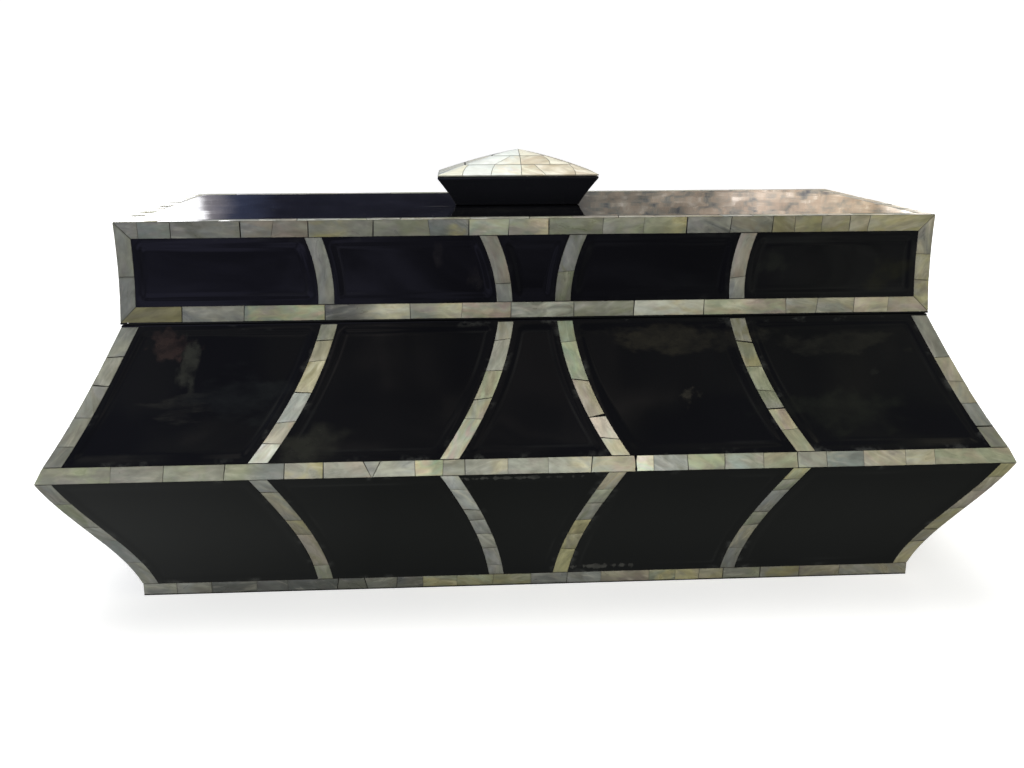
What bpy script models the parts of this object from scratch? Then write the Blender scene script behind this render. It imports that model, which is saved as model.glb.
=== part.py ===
"""Black lacquer box with mother-of-pearl banding.

A hollow body flares from a small base out to a wide rim and draws in again to
a narrow mouth. A straight-sided hollow lid rests on the mouth and lifts off by
a long flared knob, which carries a low pearl roof. The pearl lies in shallow
grooves, flush with the lacquer: bands along every edge, and curved ribs that
splay towards the rim and the top of the lid.

+X is the length, the front faces -Y, +Z is up. The origin is the middle of the
underside. Sizes below are millimetres, and MM turns them into metres.
"""
import math

import bmesh
import bpy

MM = 0.001

# ---------------------------------------------------------------- main sizes
RIM_LENGTH = 450.0          # over the widest edge
RIM_DEPTH = 216.2
WALL = 9.0                  # thickness of the wooden walls
FLOOR = 10.0                # thickness of the bottom board
PLATE = 9.0                 # thickness of the lid's top board
INLAY = 1.5                 # thickness of the pearl
GROOVE = 1.8                # depth of the groove it lies in
FIT = 0.3                   # play round the pearl, and between resting pieces

# heights above the table
Z_FOOT = 0.8                # black edge under the base band
Z_BASE = 6.2                # top of the base band
Z_RIM_LOW = 71.8            # rim band, lower edge: the widest line of the box
Z_RIM_TOP = 78.6            # rim band, upper edge
Z_RIB_END = 135.7           # upper ribs end, black lip starts
Z_MOUTH = 136.4             # top of the body
Z_LID = 136.7               # underside of the lid
Z_LID_BAND = 137.5          # lid's lower band starts
Z_LID_BAND_TOP = 144.9
Z_LID_TOP_BAND = 176.0      # lid's upper band starts
Z_LID_TOP = 183.8

# how far each level stands inside the widest line
IN_BASE = 31.7
IN_RIM_TOP = 3.3            # the rim band leans in by this much
IN_MOUTH = 34.4
IN_LID_LOW = 34.1
IN_LID_TOP = 35.2
COVE_LOWER = (0.9, 1.2)     # sag of the lower cove, and its skew
COVE_UPPER = (1.3, 0.25)
COVE_LID = (0.6, 0.0)

BAND_W = 7.3                # corner bands and the border of the lid's top
RIB_W = 7.5                 # curved ribs
STEPS_LOWER = 5
STEPS_UPPER = 5
STEPS_LID = 3

# the lid's locating tongue, which drops into the mouth
TONGUE_DROP = 5.0
TONGUE_UP = 12.0
TONGUE_T = 3.5
TONGUE_PLAY = 0.6

# ribs: half spacing at the foot and at the head of each zone, and how far the
# rib bows towards the middle; one entry for each pair, outer pair first
FRONT_RIBS = {
    "lower": [(101.6, 124.7, 3.9), (16.1, 38.7, 3.2)],
    "upper": [(126.0, 96.6, 4.1), (39.5, 14.0, 4.5)],
    "lid": [(96.7, 101.2, 1.7), (13.7, 21.0, 1.7)],
}
# the whole pattern wanders a little sideways on the hand-made front
FRONT_DRIFT = {"lower": (-2.0, -1.7), "upper": (-0.7, 1.4), "lid": (0.6, 0.5)}
SIDE_RIBS = {
    "lower": [(25.0, 44.0, 3.6)],
    "upper": [(44.5, 21.5, 4.2)],
    "lid": [(21.2, 28.0, 1.7)],
}
NO_DRIFT = {"lower": (0.0, 0.0), "upper": (0.0, 0.0), "lid": (0.0, 0.0)}

# knob
KNOB_X = -3.3               # the knob sits a touch left of the middle
KNOB_FOOT = (32.2, 12.4)    # half length and half depth where it is glued on
KNOB_RIM = (40.9, 21.3)
KNOB_Z = 184.1
KNOB_LIP = 197.9            # the flare ends in a thin upright lip
KNOB_TOP = 198.8
KNOB_STEPS = 6
CAP_Z = 199.1
CAP_EDGE = 0.7
CAP_APEX = 211.9
CAP_APEX_X = 1.0            # the roof's point lies a little right of the knob's middle
CAP_ROWS = (0.40, 0.75)     # seams between the three rows of the pearl roof
CAP_BULGE = 0.8


def cove(s, foot, head, sag, skew):
    """Inset along a zone, s from 0 at its foot to 1 at its head."""
    return (foot * (1 - s) + head * s + sag * 4 * s * (1 - s)
            + skew * 8 * s * (1 - s) * (1 - 2 * s))


def steps(lo, hi, n):
    return [lo + (hi - lo) * k / n for k in range(n + 1)]


# ------------------------------------------------------------------ profiles
class Level:
    """One horizontal line round the box."""

    def __init__(self, inset, z, zone, s):
        self.inset, self.z, self.zone, self.s = inset, z, zone, s
        self.push = (1.0, 0.0)     # shift (inwards, up) for each mm of depth
        self.turn = 0.0            # how sharply the surface bends here


def body_levels():
    """Levels from the foot to the mouth, and what lies between each two."""
    lv, kinds = [], []

    def add(inset, z, zone, s, kind=None):
        if lv:
            kinds.append(kind)
        lv.append(Level(inset, z, zone, s))

    add(IN_BASE, 0.0, "lower", 0.0)
    add(IN_BASE, Z_FOOT, "lower", 0.0, "plain")
    add(IN_BASE, Z_FOOT + FIT, "lower", 0.0, "gap")
    add(IN_BASE, Z_BASE - FIT, "lower", 0.0, "band")
    add(IN_BASE, Z_BASE, "lower", 0.0, "edge")
    for s in steps(0, 1, STEPS_LOWER)[1:]:
        add(cove(s, IN_BASE, 0.0, *COVE_LOWER),
            Z_BASE + (Z_RIM_LOW - Z_BASE) * s, "lower", s, "panel")
    play = FIT / (Z_RIM_TOP - Z_RIM_LOW)
    add(IN_RIM_TOP * play, Z_RIM_LOW + FIT, "rim", play, "edge")
    add(IN_RIM_TOP * (1 - play), Z_RIM_TOP - FIT, "rim", 1 - play, "band")
    add(IN_RIM_TOP, Z_RIM_TOP, "upper", 0.0, "edge")
    for s in steps(0, 1, STEPS_UPPER)[1:-1]:
        add(cove(s, IN_RIM_TOP, IN_MOUTH, *COVE_UPPER),
            Z_RIM_TOP + (Z_RIB_END - Z_RIM_TOP) * s, "upper", s, "panel")
    s = 1 - FIT / (Z_RIB_END - Z_RIM_TOP)
    add(cove(s, IN_RIM_TOP, IN_MOUTH, *COVE_UPPER), Z_RIB_END - FIT, "upper", s, "panel")
    add(IN_MOUTH, Z_RIB_END, "upper", 1.0, "end")
    add(IN_MOUTH, Z_MOUTH, "upper", 1.0, "plain")
    set_directions(lv, kinds)
    return lv, kinds


def lid_levels():
    lv, kinds = [], []

    def add(inset, z, zone, s, kind=None):
        if lv:
            kinds.append(kind)
        lv.append(Level(inset, z, zone, s))

    def inset(z):
        s = (z - Z_LID_BAND) / (Z_LID_TOP - Z_LID_BAND)
        return cove(s, IN_LID_LOW, IN_LID_TOP, *COVE_LID)

    add(IN_LID_LOW, Z_LID, "lid", 0.0)
    add(IN_LID_LOW, Z_LID_BAND, "lid", 0.0, "plain")
    add(inset(Z_LID_BAND + FIT), Z_LID_BAND + FIT, "lid", 0.0, "gap")
    add(inset(Z_LID_BAND_TOP - FIT), Z_LID_BAND_TOP - FIT, "lid", 0.0, "band")
    add(inset(Z_LID_BAND_TOP), Z_LID_BAND_TOP, "lid", 0.0, "edge")
    for s in steps(0, 1, STEPS_LID)[1:]:
        z = Z_LID_BAND_TOP + (Z_LID_TOP_BAND - Z_LID_BAND_TOP) * s
        add(inset(z), z, "lid", s, "panel")
    add(inset(Z_LID_TOP_BAND + FIT), Z_LID_TOP_BAND + FIT, "lid", 1.0, "edge")
    add(IN_LID_TOP, Z_LID_TOP, "lid", 1.0, "band")
    add(IN_LID_TOP + BAND_W - FIT, Z_LID_TOP, "lid", 1.0, "band")
    add(IN_LID_TOP + BAND_W, Z_LID_TOP, "lid", 1.0, "gap")
    set_directions(lv, kinds)
    return lv, kinds


def set_directions(lv, kinds):
    """Mitred inward shift at each level, the same on both sides of a groove's
    edge so that its wall and the pearl's edge stay parallel."""
    def unit(a, b):
        dx, dz = b.inset - a.inset, b.z - a.z
        n = math.hypot(dx, dz)
        return dx / n, dz / n

    for k, p in enumerate(lv):
        a = unit(lv[k - 1], p) if k else None
        b = unit(p, lv[k + 1]) if k + 1 < len(lv) else None
        a, b = a or b, b or a
        na, nb = (a[1], -a[0]), (b[1], -b[0])      # inward normals
        m = (na[0] + nb[0], na[1] + nb[1])
        scale = 2.0 / (m[0] ** 2 + m[1] ** 2)
        p.push = (m[0] * scale, m[1] * scale)
        p.turn = 1.0 - na[0] * nb[0] - na[1] * nb[1]
    for k, kind in enumerate(kinds):
        if kind == "edge":
            lower, upper = lv[k], lv[k + 1]
            sharp = lower if lower.turn > upper.turn else upper
            lower.push = upper.push = sharp.push


def rib_line(ribs, drift, zone, s, k, side):
    """Middle of rib pair k at s; side -1 is the left one."""
    if zone == "rim":
        a = rib_line(ribs, drift, "lower", 1.0, k, side)
        b = rib_line(ribs, drift, "upper", 0.0, k, side)
        return a + (b - a) * s
    foot, head, bow = ribs[zone][k]
    d0, d1 = drift[zone]
    return (side * (foot * (1 - s) + head * s - bow * 4 * s * (1 - s))
            + d0 * (1 - s) + d1 * s)


# --------------------------------------------------------------------- faces
HALF_X, HALF_Y = RIM_LENGTH / 2, RIM_DEPTH / 2
# front, right, back, left: half run, half stand-off, ribs, drift
SIDES = [
    (HALF_X, HALF_Y, FRONT_RIBS, FRONT_DRIFT),
    (HALF_Y, HALF_X, SIDE_RIBS, NO_DRIFT),
    (HALF_X, HALF_Y, FRONT_RIBS, NO_DRIFT),
    (HALF_Y, HALF_X, SIDE_RIBS, NO_DRIFT),
]


def side_columns(ribs):
    """Column edges from the left corner to the right one, and their kinds. A
    corner edge is the corner itself, the band's inner edge or its groove's."""
    edges, kinds = [("left", "corner"), ("left", "band"), ("left", "groove")], ["pearl", "gap"]
    pairs = len(ribs["upper"])
    order = [(k, -1) for k in range(pairs)] + [(k, 1) for k in reversed(range(pairs))]
    for k, side in order:
        kinds.append("panel")
        edges += [("rib", k, side, -1, 0.0), ("rib", k, side, -1, FIT),
                  ("rib", k, side, 1, FIT), ("rib", k, side, 1, 0.0)]
        kinds += ["gap", "pearl", "gap"]
    kinds += ["panel", "gap", "pearl"]
    edges += [("right", "groove"), ("right", "band")]
    return edges, kinds


def column_place(side, edge, lv, k):
    """Distance along a side, from its middle, of a column edge at level k."""
    half, _, ribs, drift = SIDES[side]
    p = lv[k]
    if edge[0] != "rib":
        lo, hi = lv[max(k - 1, 0)], lv[min(k + 1, len(lv) - 1)]
        rise = math.hypot(hi.inset - lo.inset, hi.z - lo.z)
        lean = (hi.inset - lo.inset) / rise if p.z < Z_LID_TOP - 0.01 else 0.0
        width = {"corner": 0.0, "band": BAND_W - FIT, "groove": BAND_W}[edge[1]]
        c = width * math.sqrt(1 + lean ** 2)
        return (-1 if edge[0] == "left" else 1) * (half - p.inset - c)
    _, pair, which, flank, trim = edge
    mid = rib_line(ribs, drift, p.zone, p.s, pair, which)
    ds = 0.02
    zone = "upper" if p.zone == "rim" else p.zone
    s = 0.0 if p.zone == "rim" else p.s
    a, b = max(s - ds, 0.0), min(s + ds, 1.0)
    height = {"lower": Z_RIM_LOW - Z_BASE, "upper": Z_RIB_END - Z_RIM_TOP,
              "lid": Z_LID_TOP_BAND - Z_LID_BAND_TOP}[zone] * (b - a)
    sweep = (rib_line(ribs, drift, zone, b, pair, which)
             - rib_line(ribs, drift, zone, a, pair, which))
    half_w = (RIB_W / 2 - trim) * math.sqrt(1 + (sweep / height) ** 2)
    return mid + flank * half_w


def surface_point(side, edge, lv, k, depth):
    p = lv[k]
    inset = p.inset + p.push[0] * depth
    z = p.z + p.push[1] * depth
    half, off, _, _ = SIDES[side]
    if edge[1] == "corner":
        t = -(half - inset)
    else:
        t = column_place(side, edge, lv, k)
    n = off - inset
    x, y = [(t, -n), (n, t), (-t, n), (-n, -t)][side]
    return (x * MM, y * MM, z * MM)


class Shell:
    """The box's outer surface as a grid of cells, some of them pearl."""

    def __init__(self, levels):
        self.lv, self.rows = levels
        self.cols, self.col_kinds = [], []
        for side in range(4):
            edges, kinds = side_columns(SIDES[side][2])
            self.cols += [(side, e) for e in edges]
            self.col_kinds += kinds
        self.n = len(self.cols)

    def cell(self, row, col):
        r, c = self.rows[row], self.col_kinds[col % self.n]
        if r == "plain":
            return "panel"
        if r == "gap":
            return "gap"
        if r == "band":
            return "pearl"
        if r == "edge":
            return "pearl" if c == "pearl" else "gap"
        if r == "end":
            return "panel" if c == "panel" else "gap"
        return c

    def point(self, k, col, depth):
        side, edge = self.cols[col % self.n]
        return surface_point(side, edge, self.lv, k, depth)


def finish_mesh(name, bm, material):
    bmesh.ops.remove_doubles(bm, verts=bm.verts, dist=2e-6)
    bmesh.ops.dissolve_limit(bm, angle_limit=math.radians(0.02),
                             verts=bm.verts, edges=bm.edges)
    bmesh.ops.recalc_face_normals(bm, faces=bm.faces)
    mesh = bpy.data.meshes.new(name)
    bm.to_mesh(mesh)
    bm.free()
    mesh.materials.append(material)
    obj = bpy.data.objects.new(name, mesh)
    bpy.context.scene.collection.objects.link(obj)
    return obj


def grooved_surface(shell, bm):
    """Outer skin of a wooden piece, pushed in where the pearl lies.
    Returns the vertices round its first and its last level."""
    made = {}

    def vert(k, c, deep):
        key = (k, c % shell.n, deep)
        if key not in made:
            made[key] = bm.verts.new(shell.point(k, c % shell.n, GROOVE if deep else 0.0))
        return made[key]

    last = len(shell.rows) - 1
    for r in range(len(shell.rows)):
        for c in range(shell.n):
            deep = shell.cell(r, c) != "panel"
            bm.faces.new([vert(r, c, deep), vert(r, c + 1, deep),
                          vert(r + 1, c + 1, deep), vert(r + 1, c, deep)])
            right = shell.cell(r, c + 1) != "panel"
            if right != deep:
                quad = [vert(r, c + 1, False), vert(r + 1, c + 1, False),
                        vert(r + 1, c + 1, True), vert(r, c + 1, True)]
                bm.faces.new(quad if deep else quad[::-1])
            if r < last:
                above = shell.cell(r + 1, c) != "panel"
                if above != deep:
                    quad = [vert(r + 1, c, False), vert(r + 1, c + 1, False),
                            vert(r + 1, c + 1, True), vert(r + 1, c, True)]
                    bm.faces.new(quad[::-1] if deep else quad)
    foot = [vert(0, c, False) for c in range(shell.n)]
    head = [vert(last + 1, c, False) for c in range(shell.n)]
    if shell.cell(last, 0) != "panel":      # ends in a groove: climb back out
        for c in range(shell.n):
            bm.faces.new([vert(last + 1, c, True), vert(last + 1, c + 1, True),
                          vert(last + 1, c + 1, False), vert(last + 1, c, False)])
    return foot, head


def inlay_solid(shell, name, material):
    """All the pearl set into one wooden piece, its tiles joined as they touch."""
    bm = bmesh.new()
    made = {}

    def vert(k, c, deep):
        key = (k, c % shell.n, deep)
        if key not in made:
            made[key] = bm.verts.new(shell.point(k, c % shell.n, INLAY if deep else 0.0))
        return made[key]

    def pearl(r, c):
        return 0 <= r < len(shell.rows) and shell.cell(r, c) == "pearl"

    for r in range(len(shell.rows)):
        for c in range(shell.n):
            if not pearl(r, c):
                continue
            for deep in (False, True):
                quad = [vert(r, c, deep), vert(r, c + 1, deep),
                        vert(r + 1, c + 1, deep), vert(r + 1, c, deep)]
                bm.faces.new(quad[::-1] if deep else quad)
            for (a, b), there in ((((r, c), (r, c + 1)), pearl(r - 1, c)),
                                  (((r, c + 1), (r + 1, c + 1)), pearl(r, c + 1)),
                                  (((r + 1, c + 1), (r + 1, c)), pearl(r + 1, c)),
                                  (((r + 1, c), (r, c)), pearl(r, c - 1))):
                if not there:
                    bm.faces.new([vert(*a, True), vert(*b, True),
                                  vert(*b, False), vert(*a, False)])
    return finish_mesh(name, bm, material)


def ring(bm, inset, z):
    hx, hy = (HALF_X - inset) * MM, (HALF_Y - inset) * MM
    return [bm.verts.new((x, y, z * MM)) for x, y in
            ((-hx, -hy), (hx, -hy), (hx, hy), (-hx, hy))]


def wall(bm, lower, upper):
    for k in range(4):
        bm.faces.new([lower[k], lower[(k + 1) % 4], upper[(k + 1) % 4], upper[k]])


def rim_face(bm, outer, inner, counts):
    """Flat face between a many-pointed outline and a four-pointed one."""
    start = 0
    n = len(outer)
    for k in range(4):
        run = [outer[(start + j) % n] for j in range(counts[k] + 1)]
        bm.faces.new(run + [inner[(k + 1) % 4], inner[k]])
        start += counts[k]


def inner_profile():
    """The wooden wall's inner side: the outer profile moved in by WALL."""
    lv = [Level(IN_BASE, -20.0, "lower", 0.0)]
    for s in steps(0, 1, STEPS_LOWER):
        lv.append(Level(cove(s, IN_BASE, 0.0, *COVE_LOWER),
                        Z_BASE + (Z_RIM_LOW - Z_BASE) * s, "lower", s))
    for s in steps(0, 1, STEPS_UPPER):
        lv.append(Level(cove(s, IN_RIM_TOP, IN_MOUTH, *COVE_UPPER),
                        Z_RIM_TOP + (Z_RIB_END - Z_RIM_TOP) * s, "upper", s))
    lv.append(Level(IN_MOUTH, Z_MOUTH + 20.0, "upper", 1.0))
    set_directions(lv, [])
    pts = [(p.inset + p.push[0] * WALL, p.z + p.push[1] * WALL) for p in lv]

    def at(z):
        for (i0, z0), (i1, z1) in zip(pts, pts[1:]):
            if z0 <= z <= z1:
                return i0 + (i1 - i0) * (z - z0) / (z1 - z0)
        return pts[-1][0]

    return ([(at(FLOOR), FLOOR)]
            + [p for p in pts if FLOOR + 0.5 < p[1] < Z_MOUTH - 0.5]
            + [(at(Z_MOUTH), Z_MOUTH)])


def make_body(material):
    shell = Shell(body_levels())
    bm = bmesh.new()
    foot, head = grooved_surface(shell, bm)
    bm.faces.new(foot[::-1])
    counts = [len(side_columns(s[2])[0]) for s in SIDES]
    rings = [ring(bm, i, z) for i, z in inner_profile()]
    rim_face(bm, head, rings[-1], counts)
    for a, b in zip(rings, rings[1:]):
        wall(bm, b, a)
    bm.faces.new(rings[0])
    return finish_mesh("box_body", bm, material), shell


def make_lid(material):
    shell = Shell(lid_levels())
    bm = bmesh.new()
    foot, head = grooved_surface(shell, bm)
    bm.faces.new(head)
    counts = [len(side_columns(s[2])[0]) for s in SIDES]
    mouth = inner_profile()[-1][0]
    out_t = mouth + TONGUE_PLAY
    in_t = out_t + TONGUE_T
    in_w = IN_LID_LOW + WALL
    levels = [(out_t, Z_LID), (out_t, Z_LID - TONGUE_DROP), (in_t, Z_LID - TONGUE_DROP),
              (in_t, Z_LID + TONGUE_UP), (in_w, Z_LID + TONGUE_UP + 0.5),
              (in_w + 0.6, Z_LID_TOP - PLATE)]
    rings = [ring(bm, i, z) for i, z in levels]
    rim_face(bm, foot, rings[0], counts)
    for a, b in zip(rings, rings[1:]):
        wall(bm, a, b)
    bm.faces.new(rings[-1])
    return finish_mesh("lid", bm, material), shell


def block_ring(bm, hx, hy, z, shift=0.0):
    return [bm.verts.new(((KNOB_X + shift + sx * hx) * MM, sy * hy * MM, z * MM))
            for sx, sy in ((-1, -1), (1, -1), (1, 1), (-1, 1))]


def make_knob(material):
    """Four-sided grip: its sides splay, barely hollow, to a thin lip."""
    bm = bmesh.new()
    rings = []
    for k in range(KNOB_STEPS + 1):
        s = k / KNOB_STEPS
        out = s ** 1.15
        rings.append(block_ring(
            bm, KNOB_FOOT[0] + (KNOB_RIM[0] - KNOB_FOOT[0]) * out,
            KNOB_FOOT[1] + (KNOB_RIM[1] - KNOB_FOOT[1]) * out,
            KNOB_Z + (KNOB_LIP - KNOB_Z) * s))
    rings.append(block_ring(bm, KNOB_RIM[0], KNOB_RIM[1], KNOB_TOP))
    for a, b in zip(rings, rings[1:]):
        wall(bm, a, b)
    bm.faces.new(rings[0][::-1])
    bm.faces.new(rings[-1])
    return finish_mesh("knob", bm, material)


def make_cap(material):
    """Low four-sided pearl roof in three rows, a little crowned."""
    bm = bmesh.new()
    rings = [block_ring(bm, KNOB_RIM[0], KNOB_RIM[1], CAP_Z),
             block_ring(bm, KNOB_RIM[0], KNOB_RIM[1], CAP_Z + CAP_EDGE)]
    for s in CAP_ROWS:
        rings.append(block_ring(
            bm, KNOB_RIM[0] * (1 - s), KNOB_RIM[1] * (1 - s),
            CAP_Z + CAP_EDGE + (CAP_APEX - CAP_Z - CAP_EDGE) * s
            + CAP_BULGE * 4 * s * (1 - s), CAP_APEX_X * s))
    for a, b in zip(rings, rings[1:]):
        wall(bm, a, b)
    tip = bm.verts.new(((KNOB_X + CAP_APEX_X) * MM, 0.0, CAP_APEX * MM))
    top = rings[-1]
    for k in range(4):
        bm.faces.new([top[k], top[(k + 1) % 4], tip])
    bm.faces.new(rings[0][::-1])
    return finish_mesh("knob_pearl_cap", bm, material)


def make_material(name, colour, roughness, metallic=0.0, coat=0.0):
    mat = bpy.data.materials.new(name)
    mat.use_nodes = True
    shader = mat.node_tree.nodes["Principled BSDF"]
    shader.inputs["Base Color"].default_value = (*colour, 1.0)
    shader.inputs["Roughness"].default_value = roughness
    shader.inputs["Metallic"].default_value = metallic
    shader.inputs["Coat Weight"].default_value = coat
    mat.diffuse_color = (*colour, 1.0)
    return mat


def main():
    for obj in list(bpy.data.objects):
        bpy.data.objects.remove(obj, do_unlink=True)
    body_black = make_material("black_lacquer_body", (0.010, 0.010, 0.012), 0.08, coat=1.0)
    lid_black = make_material("black_lacquer_lid", (0.008, 0.008, 0.012), 0.05, coat=1.0)
    knob_black = make_material("black_lacquer_knob", (0.008, 0.008, 0.010), 0.08, coat=1.0)
    body_pearl = make_material("pearl_body", (0.42, 0.43, 0.38), 0.25, coat=0.6)
    lid_pearl = make_material("pearl_lid", (0.40, 0.40, 0.37), 0.25, coat=0.6)
    cap_pearl = make_material("pearl_cap", (0.75, 0.76, 0.68), 0.22, coat=0.6)

    _, body_shell = make_body(body_black)
    inlay_solid(body_shell, "body_pearl_bands", body_pearl)
    _, lid_shell = make_lid(lid_black)
    inlay_solid(lid_shell, "lid_pearl_bands", lid_pearl)
    make_knob(knob_black)
    make_cap(cap_pearl)


main()
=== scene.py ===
import math
import random

import bmesh
import bpy
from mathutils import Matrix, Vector


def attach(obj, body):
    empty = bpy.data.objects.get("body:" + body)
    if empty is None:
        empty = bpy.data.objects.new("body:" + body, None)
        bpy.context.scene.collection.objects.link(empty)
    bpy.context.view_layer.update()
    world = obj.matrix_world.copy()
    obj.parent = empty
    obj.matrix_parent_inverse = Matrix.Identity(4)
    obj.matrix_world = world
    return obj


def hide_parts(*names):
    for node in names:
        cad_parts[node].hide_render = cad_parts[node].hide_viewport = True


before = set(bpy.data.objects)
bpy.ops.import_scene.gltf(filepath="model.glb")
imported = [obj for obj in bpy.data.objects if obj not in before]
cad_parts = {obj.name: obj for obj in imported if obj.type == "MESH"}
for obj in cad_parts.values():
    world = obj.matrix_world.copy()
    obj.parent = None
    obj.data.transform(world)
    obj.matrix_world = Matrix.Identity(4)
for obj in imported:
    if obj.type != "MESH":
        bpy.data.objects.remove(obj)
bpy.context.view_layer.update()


MM = 0.001

# ------------------------------------------------------------ sizes, as built
HALF_X, HALF_Y = 225.0, 108.1
WALL, PLATE, FLOOR_T = 9.0, 9.0, 10.0
Z_FOOT, Z_BASE = 0.4, 6.2
Z_RIM_LOW, Z_RIM_TOP = 71.8, 78.6
Z_RIB_END, Z_MOUTH, Z_LID = 135.7, 136.4, 136.7
Z_LID_BAND, Z_LID_BAND_TOP = 137.5, 144.9
Z_LID_TOP_BAND, Z_LID_TOP = 176.0, 183.8
IN_BASE, IN_RIM_TOP, IN_MOUTH, IN_LID_LOW, IN_LID_TOP = 31.7, 3.3, 34.4, 34.1, 35.2
COVE_LOWER, COVE_UPPER, COVE_LID = (0.9, 1.2), (1.3, 0.25), (0.6, 0.0)
BAND_W, RIB_W = 7.3, 7.5
TONGUE_DROP, TONGUE_UP, TONGUE_T = 5.0, 12.0, 3.5
# the wooden wall's inner side, inset and height, from the floor to the mouth
INNER = [(39.89, 10.0), (35.13, 22.89), (28.32, 36.62), (20.98, 49.88), (14.06, 62.69),
         (9.95, 71.68), (11.17, 74.21), (18.25, 85.37), (24.97, 97.10), (31.12, 108.75),
         (36.89, 120.29), (43.40, 133.62), (43.40, 136.40)]
FRONT_RIBS = {
    "lower": [(101.6, 124.7, 3.9), (16.1, 38.7, 3.2)],
    "upper": [(126.0, 96.6, 4.1), (39.5, 14.0, 4.5)],
    "lid": [(96.7, 101.2, 1.7), (13.7, 21.0, 1.7)],
}
FRONT_DRIFT = {"lower": (-2.0, -1.7), "upper": (-0.7, 1.4), "lid": (0.6, 0.5)}
SIDE_RIBS = {
    "lower": [(25.0, 44.0, 3.6)],
    "upper": [(44.5, 21.5, 4.2)],
    "lid": [(21.2, 28.0, 1.7)],
}
NO_DRIFT = {"lower": (0.0, 0.0), "upper": (0.0, 0.0), "lid": (0.0, 0.0)}
SIDES = [
    (HALF_X, HALF_Y, FRONT_RIBS, FRONT_DRIFT),     # front, -Y
    (HALF_Y, HALF_X, SIDE_RIBS, NO_DRIFT),         # right, +X
    (HALF_X, HALF_Y, FRONT_RIBS, NO_DRIFT),        # back, +Y
    (HALF_Y, HALF_X, SIDE_RIBS, NO_DRIFT),         # left, -X
]
KNOB_X = -3.3
KNOB_FOOT, KNOB_RIM = (32.2, 12.4), (40.9, 21.3)
KNOB_Z, KNOB_LIP, KNOB_TOP = 184.1, 197.9, 198.8
CAP_Z, CAP_EDGE, CAP_APEX, CAP_BULGE, CAP_APEX_X = 199.1, 0.7, 211.9, 0.8, 1.0

TILE_T = 1.2            # shell thickness
BED = 1.3               # depth of the bed the shell lies in
SLOT = 0.08             # dark line between shell and lacquer
# lacquer panels: how far in from the shell, and how much of the dish is reached
DISH = 0.24
DISH_STEPS = [(0.8, 0.03), (2.2, 0.14), (3.2, 0.42), (4.0, 0.78), (5.2, 0.97), (6.6, 1.0)]


def cove(s, foot, head, sag, skew):
    return (foot * (1 - s) + head * s + sag * 4 * s * (1 - s)
            + skew * 8 * s * (1 - s) * (1 - 2 * s))


# ------------------------------------------------------------- outer profile
def inset_at(zone, z):
    """How far the surface stands inside the widest line at height z. On the
    lid's flat top, z counts millimetres inwards from its edge."""
    if zone == "base":
        return IN_BASE
    if zone == "lower":
        return cove((z - Z_BASE) / (Z_RIM_LOW - Z_BASE), IN_BASE, 0.0, *COVE_LOWER)
    if zone == "rim":
        return IN_RIM_TOP * (z - Z_RIM_LOW) / (Z_RIM_TOP - Z_RIM_LOW)
    if zone == "upper":
        return cove((z - Z_RIM_TOP) / (Z_RIB_END - Z_RIM_TOP), IN_RIM_TOP, IN_MOUTH, *COVE_UPPER)
    if zone == "lid":
        return cove((z - Z_LID_BAND) / (Z_LID_TOP - Z_LID_BAND), IN_LID_LOW,
                    IN_LID_TOP, *COVE_LID)
    return IN_LID_TOP + z


SPAN = {"base": (Z_FOOT, Z_BASE), "lower": (Z_BASE, Z_RIM_LOW),
        "rim": (Z_RIM_LOW, Z_RIM_TOP), "upper": (Z_RIM_TOP, Z_RIB_END),
        "lid": (Z_LID_BAND, Z_LID_TOP), "top": (0.0, BAND_W)}
NEXT = {"base": "lower", "lower": "rim", "rim": "upper", "lid": "top"}
BEFORE = {v: k for k, v in NEXT.items()}


def tangent(zone, z):
    if zone == "top":
        return (1.0, 0.0)
    e = 0.05
    di, dz = inset_at(zone, z + e) - inset_at(zone, z - e), 2 * e
    n = math.hypot(di, dz)
    return (di / n, dz / n)


def push_dir(zone, z):
    """Inward direction (inwards, up) for each mm of depth, mitred where two
    zones meet."""
    a = tangent(zone, z)
    b = a
    lo, hi = SPAN[zone]
    if z > hi - 0.4 and zone in NEXT:
        nxt = NEXT[zone]
        b = tangent(nxt, SPAN[nxt][0])
    elif z < lo + 0.4 and zone in BEFORE:
        prv = BEFORE[zone]
        b = tangent(prv, SPAN[prv][1])
    m = (a[1] + b[1], -a[0] - b[0])
    k = 2.0 / (m[0] ** 2 + m[1] ** 2)
    return (m[0] * k, m[1] * k)


def place(side, t, zone, z, depth=0.0, mitre=0.0):
    """Point on a side: t along it from its middle, z up it, depth below the
    surface. mitre is 1 on the box's upright edges, signed by the end."""
    half, off, _, _ = SIDES[side]
    inset = inset_at(zone, z)
    px, pz = push_dir(zone, z)
    d_in = px * depth
    h = (Z_LID_TOP if zone == "top" else z) + pz * depth
    t = t - mitre * d_in
    n = off - inset - d_in
    x, y = [(t, -n), (n, t), (-t, n), (-n, -t)][side]
    return Vector((x * MM, y * MM, h * MM))


def lean(zone, z):
    """Widening of a band that follows a slanted edge."""
    return math.sqrt(1 + tangent(zone, z)[0] ** 2) if zone != "top" else 1.0


def rib_line(side, zone, s, k, which):
    _, _, ribs, drift = SIDES[side]
    foot, head, bow = ribs[zone][k]
    d0, d1 = drift[zone]
    return (which * (foot * (1 - s) + head * s - bow * 4 * s * (1 - s))
            + d0 * (1 - s) + d1 * s)


RIB_SPAN = {"lower": (Z_BASE, Z_RIM_LOW), "upper": (Z_RIM_TOP, Z_RIB_END),
            "lid": (Z_LID_BAND_TOP, Z_LID_TOP_BAND)}


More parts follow.
